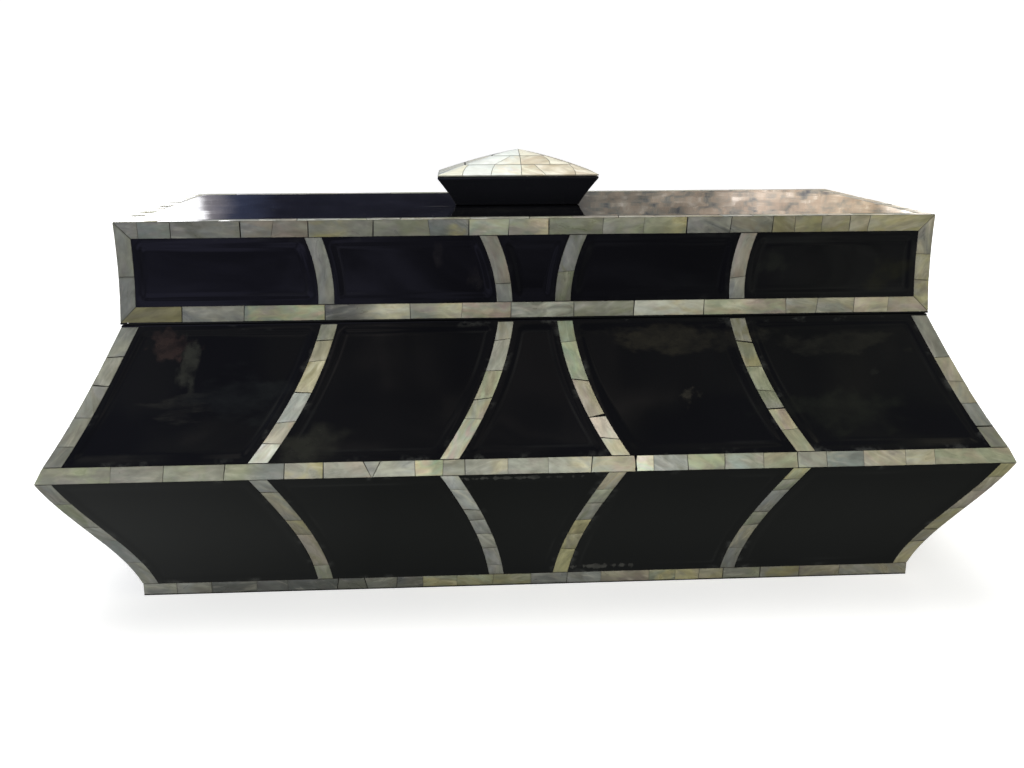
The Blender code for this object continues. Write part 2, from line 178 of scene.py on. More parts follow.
def rib_edge(side, zone, z, k, which, off):
    """t of a rib at height z, off mm to one side of its middle."""
    lo, hi = RIB_SPAN[zone]
    s = min(max((z - lo) / (hi - lo), 0.0), 1.0)
    a, b = max(s - 0.02, 0.0), min(s + 0.02, 1.0)
    sweep = (rib_line(side, zone, b, k, which) - rib_line(side, zone, a, k, which)) \
        / ((hi - lo) * (b - a))
    ti, tz = tangent(zone, z)
    return rib_line(side, zone, s, k, which) + off * math.sqrt(1 + (sweep * tz) ** 2)


# ------------------------------------------------------------------ materials
def new_material(name):
    mat = bpy.data.materials.new(name)
    mat.use_nodes = True
    tree = mat.node_tree
    return mat, tree, tree.nodes["Principled BSDF"]


def node(tree, kind, **values):
    n = tree.nodes.new(kind)
    for key, v in values.items():
        if key.startswith("in_"):
            n.inputs[key[3:].replace("_", " ")].default_value = v
        else:
            setattr(n, key, v)
    return n


def link(tree, a, b):
    tree.links.new(a, b)


def ramp(tree, stops, source, interpolation="LINEAR"):
    n = tree.nodes.new("ShaderNodeValToRGB")
    n.color_ramp.interpolation = interpolation
    els = n.color_ramp.elements
    els[0].position, els[0].color = stops[0][0], (*stops[0][1], 1)
    els[1].position, els[1].color = stops[1][0], (*stops[1][1], 1)
    for pos, col in stops[2:]:
        e = els.new(pos)
        e.color = (*col, 1)
    link(tree, source, n.inputs["Fac"])
    return n


def grey_ramp(tree, stops, source, interpolation="LINEAR"):
    return ramp(tree, [(p, (v, v, v)) for p, v in stops], source, interpolation).outputs[0]


def math_node(tree, op, a, b=None, c=None, clamp=False):
    n = tree.nodes.new("ShaderNodeMath")
    n.operation = op
    n.use_clamp = clamp
    for i, v in enumerate((a, b, c)):
        if v is None:
            continue
        if isinstance(v, (int, float)):
            n.inputs[i].default_value = v
        else:
            link(tree, v, n.inputs[i])
    return n.outputs[0]


def mix_colour(tree, mode, fac, a, b):
    n = tree.nodes.new("ShaderNodeMix")
    n.data_type = "RGBA"
    n.blend_type = mode
    for name, v in (("Factor_Float", fac), ("A_Color", a), ("B_Color", b)):
        sock = next(s for s in n.inputs if s.identifier == name)
        if isinstance(v, (int, float)):
            sock.default_value = v
        elif isinstance(v, tuple):
            sock.default_value = (*v, 1.0)
        else:
            link(tree, v, sock)
    return next(s for s in n.outputs if s.identifier == "Result_Color")


def noise(tree, vector, scale, detail=3.0, rough=0.5, distortion=0.0):
    n = node(tree, "ShaderNodeTexNoise", in_Scale=scale, in_Detail=detail,
             in_Roughness=rough, in_Distortion=distortion)
    link(tree, vector, n.inputs["Vector"])
    return n.outputs["Fac"]


def stretched(tree, vector, scale):
    n = node(tree, "ShaderNodeMapping")
    n.inputs["Scale"].default_value = scale
    link(tree, vector, n.inputs["Vector"])
    return n.outputs[0]


def lacquer(name, colour, rough, smear, peel=0.5, wave=0.6, top_dust=0.0, painted_reflections=()):
    """Black gloss lacquer: near-black, long soft waves and a fine orange peel
    from hand rubbing, faint smears, a painted highlight (a paler line a few mm
    in from the shell), polish left in the corners, and dust on flat tops.
    Each painted reflection, a dull patch or thin pale line, is given as middle, half width, half height,
    tone, how broken up."""
    mat, tree, shader = new_material(name)
    pos = node(tree, "ShaderNodeTexCoord").outputs["Object"]
    long_wave = noise(tree, pos, 22.0, 2.0, 0.4)
    fine_peel = noise(tree, pos, 420.0, 2.0, 0.5)
    wipe = noise(tree, stretched(tree, pos, (9.0, 60.0, 60.0)), 1.0, 5.0, 0.6, 0.6)
    specks = noise(tree, pos, 1500.0, 1.0, 0.5)
    dust = grey_ramp(tree, [(0.76, 0.0), (0.82, 1.0)], specks)
    clouds = noise(tree, pos, 9.0, 3.0, 0.55)

    tone = ramp(tree, [(0.3, tuple(c * 0.75 for c in colour)),
                       (0.75, tuple(c * 1.35 for c in colour))], clouds).outputs[0]
    tone = mix_colour(tree, "MIX", math_node(tree, "MULTIPLY", dust, 0.07),
                      tone, (0.09, 0.09, 0.085))
    # Painted highlight: a paler line a few mm in from the shell, where the lacquer's shallow dish would catch
    # the light; weaker on the lid.
    verge = node(tree, "ShaderNodeAttribute", attribute_name="verge").outputs["Fac"]
    uneven = noise(tree, pos, 17.0, 3.0, 0.6)
    line = math_node(tree, "MULTIPLY",
                     grey_ramp(tree, [(0.10, 0.0), (0.26, 1.0), (0.42, 0.0)], verge, "EASE"),
                     grey_ramp(tree, [(0.50, 0.0), (0.68, 1.0)], uneven))
    tone = mix_colour(tree, "MIX", math_node(tree, "MULTIPLY", line, 0.03 if top_dust else 0.065), tone,
                      (0.085, 0.088, 0.085))
    smudge = noise(tree, stretched(tree, pos, (70.0, 70.0, 110.0)), 1.0, 4.0, 0.65)
    polish = math_node(tree, "MULTIPLY",
                       grey_ramp(tree, [(0.55, 0.0), (0.95, 1.0)], verge),
                       grey_ramp(tree, [(0.56, 0.0), (0.72, 1.0)], smudge))
    tone = mix_colour(tree, "MIX", math_node(tree, "MULTIPLY", polish, 0.06 if top_dust else 0.35),
                      tone, (0.10, 0.105, 0.10))
    if top_dust:
        up = node(tree, "ShaderNodeSeparateXYZ")
        link(tree, node(tree, "ShaderNodeNewGeometry").outputs["Normal"], up.inputs[0])
        flat = grey_ramp(tree, [(0.90, 0.0), (0.98, 1.0)], up.outputs[2])
        motes = grey_ramp(tree, [(0.71, 0.0), (0.75, 1.0)],
                          noise(tree, stretched(tree, pos, (1400.0, 330.0, 1.0)), 1.0, 1.0, 0.5))
        hairs = grey_ramp(tree, [(0.62, 0.0), (0.70, 1.0)],
                          noise(tree, stretched(tree, pos, (11.0, 420.0, 1.0)), 1.0, 2.0, 0.6))
        film = math_node(tree, "MAXIMUM", motes, math_node(tree, "MULTIPLY", hairs, 0.20))
        film = math_node(tree, "MULTIPLY", math_node(tree, "MULTIPLY", film, flat), top_dust)
        tone = mix_colour(tree, "MIX", film, tone, (0.60, 0.60, 0.60))
    # Painted reflections: dim patches and thin pale lines set into the colour, standing in for what the
    # lacquer mirrors.
    for x, y, z, rx, rz, reflected_tone, broken in painted_reflections:
        near = node(tree, "ShaderNodeVectorMath", operation="SUBTRACT")
        link(tree, pos, near.inputs[0])
        near.inputs[1].default_value = (x, y, z)
        scaled = node(tree, "ShaderNodeVectorMath", operation="DIVIDE")
        link(tree, near.outputs[0], scaled.inputs[0])
        scaled.inputs[1].default_value = rx if isinstance(rx, tuple) else (rx, 0.035, rz)
        far = node(tree, "ShaderNodeVectorMath", operation="LENGTH")
        link(tree, scaled.outputs[0], far.inputs[0])
        grit = noise(tree, stretched(tree, pos, broken), 1.0, 3.0, 0.6)
        ragged = math_node(tree, "MULTIPLY_ADD", grit, 1.1,
                           math_node(tree, "MULTIPLY", far.outputs["Value"], 0.4))
        cover = math_node(tree, "MULTIPLY",
                          grey_ramp(tree, [(0.66, 1.0), (0.86, 0.0)], ragged, "EASE"),
                          grey_ramp(tree, [(0.36, 0.25), (0.62, 1.0)], smudge))
        tone = mix_colour(tree, "MIX", cover, tone, reflected_tone)
    link(tree, tone, shader.inputs["Base Color"])
    r = math_node(tree, "MULTIPLY_ADD", wipe, smear, rough)
    r = math_node(tree, "MULTIPLY_ADD", dust, 0.12, r)
    link(tree, r, shader.inputs["Roughness"])
    bump1 = node(tree, "ShaderNodeBump", in_Strength=wave, in_Distance=0.0006)
    link(tree, long_wave, bump1.inputs["Height"])
    bump2 = node(tree, "ShaderNodeBump", in_Strength=peel, in_Distance=0.000006)
    link(tree, fine_peel, bump2.inputs["Height"])
    link(tree, bump1.outputs[0], bump2.inputs["Normal"])
    link(tree, bump2.outputs[0], shader.inputs["Normal"])
    shader.inputs["IOR"].default_value = 1.5
    return mat


def satin_black(name):
    """Plain black inside and underneath: brushed satin paint, a little rubbed."""
    mat, tree, shader = new_material(name)
    pos = node(tree, "ShaderNodeTexCoord").outputs["Object"]
    strokes = noise(tree, stretched(tree, pos, (30.0, 420.0, 420.0)), 1.0, 4.0, 0.6)
    rub = noise(tree, pos, 34.0, 4.0, 0.6)
    tone = ramp(tree, [(0.35, (0.010, 0.010, 0.010)), (0.72, (0.026, 0.024, 0.022))],
                rub).outputs[0]
    link(tree, tone, shader.inputs["Base Color"])
    link(tree, math_node(tree, "MULTIPLY_ADD", strokes, 0.25, 0.38), shader.inputs["Roughness"])
    bump = node(tree, "ShaderNodeBump", in_Strength=0.35, in_Distance=0.00008)
    link(tree, strokes, bump.inputs["Height"])
    link(tree, bump.outputs[0], shader.inputs["Normal"])
    return mat


def mother_of_pearl(name, lift=1.0, film=0.0, contrast=1.0):
    """Nacre under clear lacquer. Every tile carries two tints and its own grain
    direction: soft clouds mix the tints, pale wisps and faint growth lines run
    along the grain, and some tiles hold a pink and green play."""
    mat, tree, shader = new_material(name)
    grain = node(tree, "ShaderNodeAttribute", attribute_name="grain").outputs["Vector"]
    tint_a = node(tree, "ShaderNodeAttribute", attribute_name="tint").outputs["Color"]
    tint_b = node(tree, "ShaderNodeAttribute", attribute_name="tint_b").outputs["Color"]
    mood = node(tree, "ShaderNodeSeparateXYZ")
    link(tree, node(tree, "ShaderNodeAttribute", attribute_name="mood").outputs["Vector"],
         mood.inputs[0])
    play, figure, wisp = mood.outputs[0], mood.outputs[1], mood.outputs[2]

    # two tints flow into each other in soft clouds
    slow = stretched(tree, grain, (0.060, 0.13, 0.1))
    cloud = noise(tree, slow, 1.0, 3.0, 0.5, 1.1)
    share = grey_ramp(tree, [(0.36, 0.0), (0.64, 1.0)], cloud, "EASE")
    base = mix_colour(tree, "MIX", share, tint_a, tint_b)
    haze = noise(tree, slow, 2.3, 3.0, 0.55, 0.5)
    base = mix_colour(tree, "MULTIPLY", contrast, base,
                      grey_ramp(tree, [(0.30, 0.80), (0.72, 1.17)], haze, "EASE"))

    # pink, straw, green and blue play
    hue_field = noise(tree, stretched(tree, grain, (0.065, 0.15, 0.2)), 1.0, 1.5, 0.5, 0.9)
    play_col = ramp(tree, [(0.30, (0.80, 0.50, 0.60)), (0.42, (0.84, 0.72, 0.48)),
                           (0.50, (0.62, 0.80, 0.52)), (0.58, (0.46, 0.72, 0.66)),
                           (0.70, (0.78, 0.56, 0.68))], hue_field).outputs[0]
    base = mix_colour(tree, "OVERLAY", play, base, play_col)

    # pale silky wisps along the grain, and a few dim ones
    silk = noise(tree, stretched(tree, grain, (0.065, 0.36, 0.3)), 1.0, 3.0, 0.55, 0.8)
    pale = math_node(tree, "MULTIPLY", grey_ramp(tree, [(0.54, 0.0), (0.76, 1.0)], silk, "EASE"),
                     wisp)
    base = mix_colour(tree, "SCREEN", pale, base, (0.36, 0.34, 0.28))
    base = mix_colour(tree, "MULTIPLY", math_node(tree, "MULTIPLY", wisp, 0.8), base,
                      grey_ramp(tree, [(0.26, 0.62), (0.48, 1.0)], silk, "EASE"))

    # growth lines: very thin, seen on some tiles only
    fine = noise(tree, stretched(tree, grain, (0.10, 3.4, 1.0)), 1.0, 3.0, 0.55, 0.35)
    base = mix_colour(tree, "MULTIPLY", figure, base,
                      grey_ramp(tree, [(0.30, 0.88), (0.70, 1.08)], fine))

    # small pits and a little grime along the joints
    pits = noise(tree, grain, 2.6, 2.0, 0.6)
    base = mix_colour(tree, "MULTIPLY", 0.5, base,
                      ramp(tree, [(0.22, (0.50, 0.47, 0.42)), (0.30, (1, 1, 1))], pits).outputs[0])
    edge = node(tree, "ShaderNodeAttribute", attribute_name="rim").outputs["Fac"]
    base = mix_colour(tree, "MIX", math_node(tree, "MULTIPLY", edge, 0.72), base,
                      (0.050, 0.046, 0.038))
    base = mix_colour(tree, "MULTIPLY", 1.0, base, (lift, lift, lift))
    link(tree, base, shader.inputs["Base Color"])

    link(tree, math_node(tree, "MULTIPLY_ADD", cloud, 0.20, 0.20), shader.inputs["Roughness"])
    b1 = node(tree, "ShaderNodeBump", in_Strength=0.35, in_Distance=0.00010)
    link(tree, haze, b1.inputs["Height"])
    b2 = node(tree, "ShaderNodeBump", in_Strength=0.2, in_Distance=0.00003)
    link(tree, fine, b2.inputs["Height"])
    link(tree, b1.outputs[0], b2.inputs["Normal"])
    link(tree, b2.outputs[0], shader.inputs["Normal"])
    shader.inputs["IOR"].default_value = 1.53
    shader.inputs["Coat Weight"].default_value = 0.5
    shader.inputs["Coat Roughness"].default_value = 0.07
    if film:
        shader.inputs["Thin Film Thickness"].default_value = film
        shader.inputs["Thin Film IOR"].default_value = 1.45
    return mat


# ------------------------------------------------------------------ tile tints
# A tint is a hue and a tone from 1 (dark) to 9 (pale), such as "dove4".
# "dove4>sand6" runs from one to the other along the tile.
HUES = {
    "grey": (0.98, 1.01, 0.97), "dove": (1.00, 1.00, 0.86), "sage": (0.97, 1.02, 0.72),
    "sand": (1.04, 0.97, 0.70), "straw": (1.05, 0.97, 0.53), "rose": (1.07, 0.95, 0.80),
    "sea": (0.93, 1.03, 0.98), "mint": (0.92, 1.07, 0.80),
}
TONES = (0.060, 0.075, 0.105, 0.140, 0.180, 0.230, 0.290, 0.360, 0.450, 0.590)
# Tints for the knob cap, with painted light: snow and ivory are far paler than the same shell on the bands
# because the cap faces the light above, and peach is the cap's painted shade on its right side.
TINTS = {"snow": (0.78, 0.83, 0.83), "ivory": (0.79, 0.76, 0.66), "peach": (0.58, 0.50, 0.40)}


def tint(name):
    if name in TINTS:
        return TINTS[name]
    tone = TONES[int(name[-1])]
    return tuple(c * tone for c in HUES[name[:-1]])


COOL = ["dove5", "grey4", "dove4", "sage5", "grey5", "dove6", "rose5", "sea4", "grey3", "dove5"]
MID = ["dove6", "sage5", "dove5", "sand5", "dove7", "straw5", "grey5", "rose5", "sage6", "dove5"]
WARM = ["sand5", "straw5", "dove6", "sage5", "sand6", "dove5", "straw6", "rose6", "sand5", "sage4"]


def pick_look(rng, side, t):
    """Two tints, play, growth lines and wisps. Shell is cooler towards the left
    end of the front and warmer to the right."""
    if side == 0:
        w = (t + HALF_X) / (2 * HALF_X) + rng.uniform(-0.22, 0.22)
        pool = COOL if w < 0.36 else MID if w < 0.64 else WARM
    else:
        pool = rng.choice([COOL, MID, MID, WARM])
    return (rng.choice(pool), rng.choice(pool), rng.choice([0.0, 0.03, 0.05, 0.08, 0.12, 0.25]),
            rng.choice([0.1, 0.2, 0.3, 0.5]), rng.choice([0.05, 0.1, 0.2, 0.35]))




# ------------------------------------------------------------------ tile mesh
class TileMesh:
    """Gathers many small shell plates into one mesh, with what the material
    needs to know about each of them."""

    def __init__(self, seed, side_trim=0.10):
        self.bm = bmesh.new()
        self.rng = random.Random(seed)
        layers = self.bm.verts.layers
        self.grain = layers.float_vector.new("grain")
        self.tint = layers.float_color.new("tint")
        self.tint_b = layers.float_color.new("tint_b")
        self.mood = layers.float_vector.new("mood")
        self.rim = layers.float.new("rim")
        self.side_trim = side_trim

    def add(self, point, size, look, n_along=2, n_across=2,
            soft=(0.13, 0.13, 0.13, 0.13), drop=None, tilt=1.0, even=1.0):
        """point(a, b, depth) gives a place for a, b from 0 to 1. size is the
        plate's length and width in mm. soft is the width of the rounded edge
        at a=0, a=1, b=0, b=1. drop(a, b) is extra depth, for worn edges."""
        rng = self.rng
        length, width = size
        ea0, ea1 = soft[0] / length, soft[1] / length
        eb0, eb1 = soft[2] / width, soft[3] / width
        inner_a = [ea0 + (1 - ea0 - ea1) * k / n_along for k in range(n_along + 1)]
        inner_b = [eb0 + (1 - eb0 - eb1) * k / n_across for k in range(n_across + 1)]
        aa = [0.0] + inner_a + [1.0]
        bb = [0.0] + inner_b + [1.0]
        lift = rng.uniform(-0.02, 0.05)
        ta, tb = rng.uniform(-0.03, 0.03) * tilt, rng.uniform(-0.035, 0.035) * tilt
        # each plate is cut a hair too narrow on one side or the other
        trim0, trim1 = (rng.uniform(0, self.side_trim) / width for _ in range(2))
        name_a, name_b, play, figure, wisp = look
        k = 1 + rng.uniform(-0.06, 0.06) * even
        ends_a, ends_b = ([tuple(min(c * k * rng.uniform(0.99, 1.01), 0.95) for c in tint(part))
                           for part in name.split(">")] for name in (name_a, name_b))
        if len(ends_a) + len(ends_b) > 2:
            n_along = max(n_along, 9)
            inner_a = [ea0 + (1 - ea0 - ea1) * q / n_along for q in range(n_along + 1)]
            aa = [0.0] + inner_a + [1.0]
        spin = rng.choice([0.0, 0.05, 0.1, -0.1, 0.15, -0.15, 0.3, -0.3, 0.5]) + rng.uniform(-0.08, 0.08)
        ca, sa = math.cos(spin), math.sin(spin)
        ox, oy, oz = (rng.uniform(0, 900) for _ in range(3))
        top, bottom = {}, {}
        n_a, n_b = len(aa), len(bb)
        for i, a in enumerate(aa):
            for j, b in enumerate(bb):
                on_edge = i in (0, n_a - 1) or j in (0, n_b - 1)
                crown = 0.03 * (1 - (2 * a - 1) ** 2) * (1 - (2 * b - 1) ** 2)
                d = 0.05 - lift - crown + ta * (2 * a - 1) + tb * (2 * b - 1)
                if on_edge:
                    d += 0.09
                if drop is not None:
                    d += drop(a, b)
                d = max(d, 0.0)
                x, y = (a - 0.5) * length, (b - 0.5) * width
                u = min(max((a - 0.34) / 0.38, 0.0), 1.0)
                s = u * u * (3 - 2 * u)
                col_a = tuple(p * (1 - s) + q * s for p, q in zip(ends_a[0], ends_a[-1]))
                col_b = tuple(p * (1 - s) + q * s for p, q in zip(ends_b[0], ends_b[-1]))
                g = (x * ca - y * sa + ox, x * sa + y * ca + oy, oz)
                b_cut = trim0 + (1 - trim0 - trim1) * b
                for store, depth in ((top, d), (bottom, TILE_T)):
                    if store is bottom and not on_edge:
                        continue
                    v = self.bm.verts.new(point(a, b_cut, depth))
                    v[self.grain] = g
                    v[self.tint] = (*col_a, 1.0)
                    v[self.tint_b] = (*col_b, 1.0)
                    v[self.mood] = (play, figure, wisp)
                    v[self.rim] = 1.0 if (on_edge or store is bottom) else 0.0
                    store[i, j] = v
        faces = self.bm.faces
        for i in range(n_a - 1):
            for j in range(n_b - 1):
                faces.new([top[i, j], top[i + 1, j], top[i + 1, j + 1], top[i, j + 1]])
        loop = ([(i, 0) for i in range(n_a)] + [(n_a - 1, j) for j in range(1, n_b)]
                + [(i, n_b - 1) for i in range(n_a - 2, -1, -1)]
                + [(0, j) for j in range(n_b - 2, 0, -1)])
        for p, q in zip(loop, loop[1:] + loop[:1]):
            faces.new([top[q], top[p], bottom[p], bottom[q]])
        faces.new([bottom[p] for p in reversed(loop)])

    def finish(self, name, material):
        bmesh.ops.recalc_face_normals(self.bm, faces=self.bm.faces)
        mesh = bpy.data.meshes.new(name)
        self.bm.to_mesh(mesh)
        self.bm.free()
        mesh.shade_smooth()
        mesh.set_sharp_from_angle(angle=math.radians(50))
        mesh.materials.append(material)
        obj = bpy.data.objects.new(name, mesh)
        bpy.context.scene.collection.objects.link(obj)
        return obj


class Joint:
    """A joint between two tiles: where it is at mid-width, how far it slants to
    either side of that, how open it is at the band's two edges, and how much it
    is chipped."""

    def __init__(self, at, slant=0.0, gap=0.1, gap_far=None, chips=0.0, seed=0):
        self.at, self.slant, self.chips = at, slant, chips
        self.gap = (gap, gap if gap_far is None else gap_far)
        rng = random.Random(seed)
        self.jag = [rng.uniform(-1, 1) for _ in range(8)]

    def edge(self, b, sign):
        """Place of the tile edge on one side of the joint, at b across it."""
        gap = self.gap[0] * (1 - b) + self.gap[1] * b
        bite = 0.0
        if self.chips:
            u = b * 6.999
            q = int(u)
            bite = self.chips * max(0.0, self.jag[q] * (1 - (u - q)) + self.jag[q + 1] * (u - q))
        gap *= 1.9 if gap > 0.11 else 1.4
        return self.at + self.slant * (2 * b - 1) + sign * (gap / 2 + bite)


GAPS = [0.07, 0.1, 0.1, 0.13, 0.18, 0.24]


def joints_between(rng, lo, hi, mean, given=None, ends=0.08):
    """Joints along a band from lo to hi. A given one is its place, or a tuple of
    place, slant, opening at the near edge, opening at the far edge, chips."""
    out = [Joint(lo, 0.0, ends)]
    if given is not None:
        for g in given:
            g = tuple(g) if isinstance(g, tuple) else (g,)
            slant = g[1] if len(g) > 1 and g[1] is not None else rng.uniform(-0.35, 0.35)
            gap = g[2] if len(g) > 2 else rng.choice(GAPS)
            far = g[3] if len(g) > 3 else gap * rng.uniform(0.5, 1.3)
            out.append(Joint(g[0], slant, gap, far, g[4] if len(g) > 4 else 0.0,
                             rng.randrange(10000)))
    else:
        x = lo + mean * rng.uniform(0.6, 1.3)
        while x < hi - mean * 0.45:
            gap = rng.choice(GAPS)
            out.append(Joint(x, rng.uniform(-0.6, 0.6), gap, gap * rng.uniform(0.4, 1.5)))
            x += mean * rng.choice([0.55, 0.75, 0.9, 1.0, 1.15, 1.35, 1.6]) * rng.uniform(0.92, 1.08)
    out.append(Joint(hi, 0.0, ends))
    return out


def worn_corner(amount=0.14, scallop=0.50):
    """Extra depth along b=0: the box's upright edge, worn most at each tile's
    ends, which leaves it faintly scalloped."""
    def drop(a, b):
        if b > 0.001:
            return 0.0
        return amount + scallop * abs(2 * a - 1) ** 2.5
    return drop


def full_look(look):
    """Fills in play, growth lines and wisps where a tile's entry leaves them."""
    defaults = (None, None, 0.05, 0.25, 0.24)
    return tuple(look) + defaults[len(look):]


def look_of(tiles, looks, k, side, t):
    if looks and k < len(looks) and looks[k]:
        return full_look(looks[k]), 0.5
    return pick_look(tiles.rng, side, t), 1.0


def level_band(tiles, side, zone, z0, z1, joints, ends, looks=None):
    """Tiles of a level band. ends says how it finishes at the corners: "run"
    goes right to the upright edge, "frame_low" and "frame_high" are cut on the
    slant to meet a corner band above or below."""
    half = SIDES[side][0]
    w = z1 - z0
    n = len(joints) - 1

    def end(sign, b, g=0.13 if ends != "run" else 0.05):
        z = z0 + w * b
        edge = half - inset_at(zone, z if zone != "top" else w * b)
        cut = {"run": 0.0, "frame_low": b, "frame_high": 1 - b}[ends]
        if zone == "top":
            return sign * (edge - g), 0.0
        c = cut * BAND_W * lean(zone, z)
        return sign * (edge - c - g * (1.0 if cut else 0.5)), sign * (1.0 if c < 0.4 else 0.0)

    for k in range(n):
        jl, jr = joints[k], joints[k + 1]

        def left(b, k=k, jl=jl):
            return (jl.edge(b, 1), 0.0) if k else end(-1, b)

        def right(b, k=k, jr=jr):
            return (jr.edge(b, -1), 0.0) if k < n - 1 else end(1, b)

        def point(a, b, depth, left=left, right=right):
            z = z0 + SLOT + (w - 2 * SLOT) * b
            bb = (z - z0) / w
            (tl, ml), (tr, mr) = left(bb), right(bb)
            mit = ml if a < 1e-6 else mr if a > 1 - 1e-6 else 0.0
            return place(side, tl + (tr - tl) * a, zone, z, depth, mit)

        length = max(right(0.5)[0] - left(0.5)[0], 1.0)
        t_mid = (right(0.5)[0] + left(0.5)[0]) / 2
        look, even = look_of(tiles, looks, k, side, t_mid)
        drop = None
        if ends == "run":
            first, last = k == 0, k == n - 1

            def drop(a, b, first=first, last=last):
                if (first and a < 1e-6) or (last and a > 1 - 1e-6):
                    return 0.2 + 0.4 * abs(2 * b - 1) ** 2
                return 0.0
        tiles.add(point, (length, w), look, drop=drop, even=even,
                  n_along=max(2, int(length / 9)), n_across=7 if jl.chips or jr.chips else 2)


def corner_band(tiles, side, sign, zone, joints, framed=False, looks=None):
    """Tiles of the band that follows an upright corner on one side."""
    half = SIDES[side][0]
    n = len(joints) - 1
    for k in range(n):
        jl, jr = joints[k], joints[k + 1]

        def point(a, b, depth, k=k, jl=jl, jr=jr):
            za = jl.edge(b, 1) if k else jl.edge(b, 1) + framed * 7.4 * b
            zb = jr.edge(b, -1) if k < n - 1 else jr.edge(b, -1) - framed * 7.8 * b
            z = za + (zb - za) * a
            c = 0.05 + (BAND_W - SLOT - 0.05) * b
            t = sign * (half - inset_at(zone, z) - c * lean(zone, z))
            return place(side, t, zone, z, depth, sign * (1.0 - b) if b < 0.999 else 0.0)

        z_mid = (jl.at + jr.at) / 2
        rise = abs(tangent(zone, z_mid)[1])
        length = max((jr.at - jl.at) / rise, 1.0)
        look, even = look_of(tiles, looks, k, side, sign * (half - inset_at(zone, z_mid)))
        tiles.add(point, (length, BAND_W), look, even=even,
                  n_along=max(3, int(length / 3)), n_across=2, drop=worn_corner())


def rib(tiles, side, zone, k, which, joints, looks=None):
    n = len(joints) - 1
    for q in range(n):
        jl, jr = joints[q], joints[q + 1]

        def point(a, b, depth, q=q, jl=jl, jr=jr):
            za, zb = jl.edge(b, 1), jr.edge(b, -1)
            z = za + (zb - za) * a
            off = (RIB_W / 2 - SLOT) * (2 * b - 1)
            return place(side, rib_edge(side, zone, z, k, which, off), zone, z, depth)

        z_mid = (jl.at + jr.at) / 2
        length = max((jr.at - jl.at) / abs(tangent(zone, z_mid)[1]), 1.0)
        t_mid = rib_edge(side, zone, z_mid, k, which, 0.0)
        look, even = look_of(tiles, looks, q, side, t_mid)
        tiles.add(point, (length, RIB_W), look, even=even,
                  n_along=max(2, int(length / 3)), n_across=2)


# Joints on the front, in mm from the middle: place, slant, opening at the
# band's lower and upper edge, chips.
LID_TOP_JOINTS = [(-179.1, 0.0, 0.06), (-164.5, 0.1, 0.16), (-133.2, 0.0, 0.24), (-118.8, 0.8, 0.08),
                  (-102.6, 0.1, 0.20), (-73.1, 0.2, 0.30), (-47.6, -0.5, 0.06), (-29.3, 0.1, 0.22),
                  (-10.9, 0.3, 0.16, 0.0), (7.6, 0.0, 0.24), (32.7, 0.2, 0.08), (51.8, 0.3, 0.06),
                  (72.0, 0.1, 0.30), (92.7, 0.4, 0.12), (112.5, 0.2, 0.16), (123.0, 0.0, 0.08),
                  (135.8, 0.2, 0.08), (149.1, 0.1, 0.10), (158.2, 0.5, 0.08)]
LID_TOP_LOOKS = [("grey3", "dove3"), ("grey3", "sea3"), ("dove2>dove3", "grey3"), ("grey3", "rose3"),
                 ("rose3", "dove3"), ("straw4>dove3", "dove3", 0.06), ("dove3", "sage3"),
                 ("grey2>grey3", "sea2>straw4"), ("sage5", "dove5", 0.15, 0.2, 0.3),
                 ("sage4>sand6", "dove4", 0.12), ("sage3", "dove3"), ("sage4", "dove4"),
                 ("sage4>straw5", "sage4"), ("grey2", "dove4"), ("dove3", "sand3"),
                 ("straw3>sand4", "straw3"), ("sand3", "straw4"), ("straw4", "sand4"),
                 ("straw4", "sand5"), ("straw5", "sand5", 0.05, 0.3, 0.3)]
LID_LOW_JOINTS = [(-162.5, 0.2, 0.16), (-134.1, 0.3, 0.12), (-96.9, 0.1, 0.22), (-57.4, 0.0, 0.12),
                  (-33.2, 0.4, 0.06), (-10.1, 0.1, 0.14), (19.6, 0.0, 0.16), (48.1, 0.2, 0.18),
                  (81.6, 0.1, 0.20), (121.2, -0.2, 0.10), (136.2, 0.4, 0.07), (154.2, 0.1, 0.12),
                  (170.8, 0.2, 0.07)]
LID_LOW_LOOKS = [("straw3", "straw2", 0.03, 0.3, 0.1), ("grey3", "dove4"),
                 ("grey3>sage5", "sage4>sand5", 0.26, 0.2, 0.3), ("grey1>sand7", "grey1>dove6"),
                 ("dove3>sand6", "dove4>rose5", 0.15), ("sand4>rose4", "rose5", 0.2, 0.2, 0.3),
                 ("dove3", "dove6", 0.1, 0.3, 0.5), ("dove4", "sage3"),
                 ("sand6", "dove7", 0.06, 0.2, 0.2), ("sand6>rose4", "sage5", 0.12, 0.3, 0.3),
                 ("dove5", "sand4", 0.06, 0.8, 0.8), ("dove4", "sand5", 0.06, 0.6, 0.7),
                 ("rose5", "sand6", 0.1), ("rose5", "sand5", 0.08)]
RIM_JOINTS = [(-191.7, 0.0, 0.0, 0.10), (-168.4, 0.1, 0.09), (-141.4, 0.3, 0.09, 0.2), (-114.7, 0.1, 0.18),
              (-97.2, 0.0, 0.24), (-77.4, -1.9, 0.10, 0.16), (-73.2, 1.9, 0.10, 0.16),
              (-55.8, -0.1, 0.13), (-43.1, 0.2, 0.10), (-33.1, 0.0, 0.13), (-13.5, 0.1, 0.08),
              (5.0, 0.0, 0.03), (25.0, 0.5, 0.14, 0.22), (45.4, 0.0, 0.34, 0.30, 0.45), (53.7, 0.1, 0.10),
              (69.5, -0.1, 0.14), (86.8, 0.2, 0.13), (105.0, 0.1, 0.11), (121.0, 0.0, 0.16),
              (134.7, 0.0, 0.09), (152.2, 0.1, 0.06), (172.1, 0.0, 0.07), (186.0, 0.0, 0.06)]
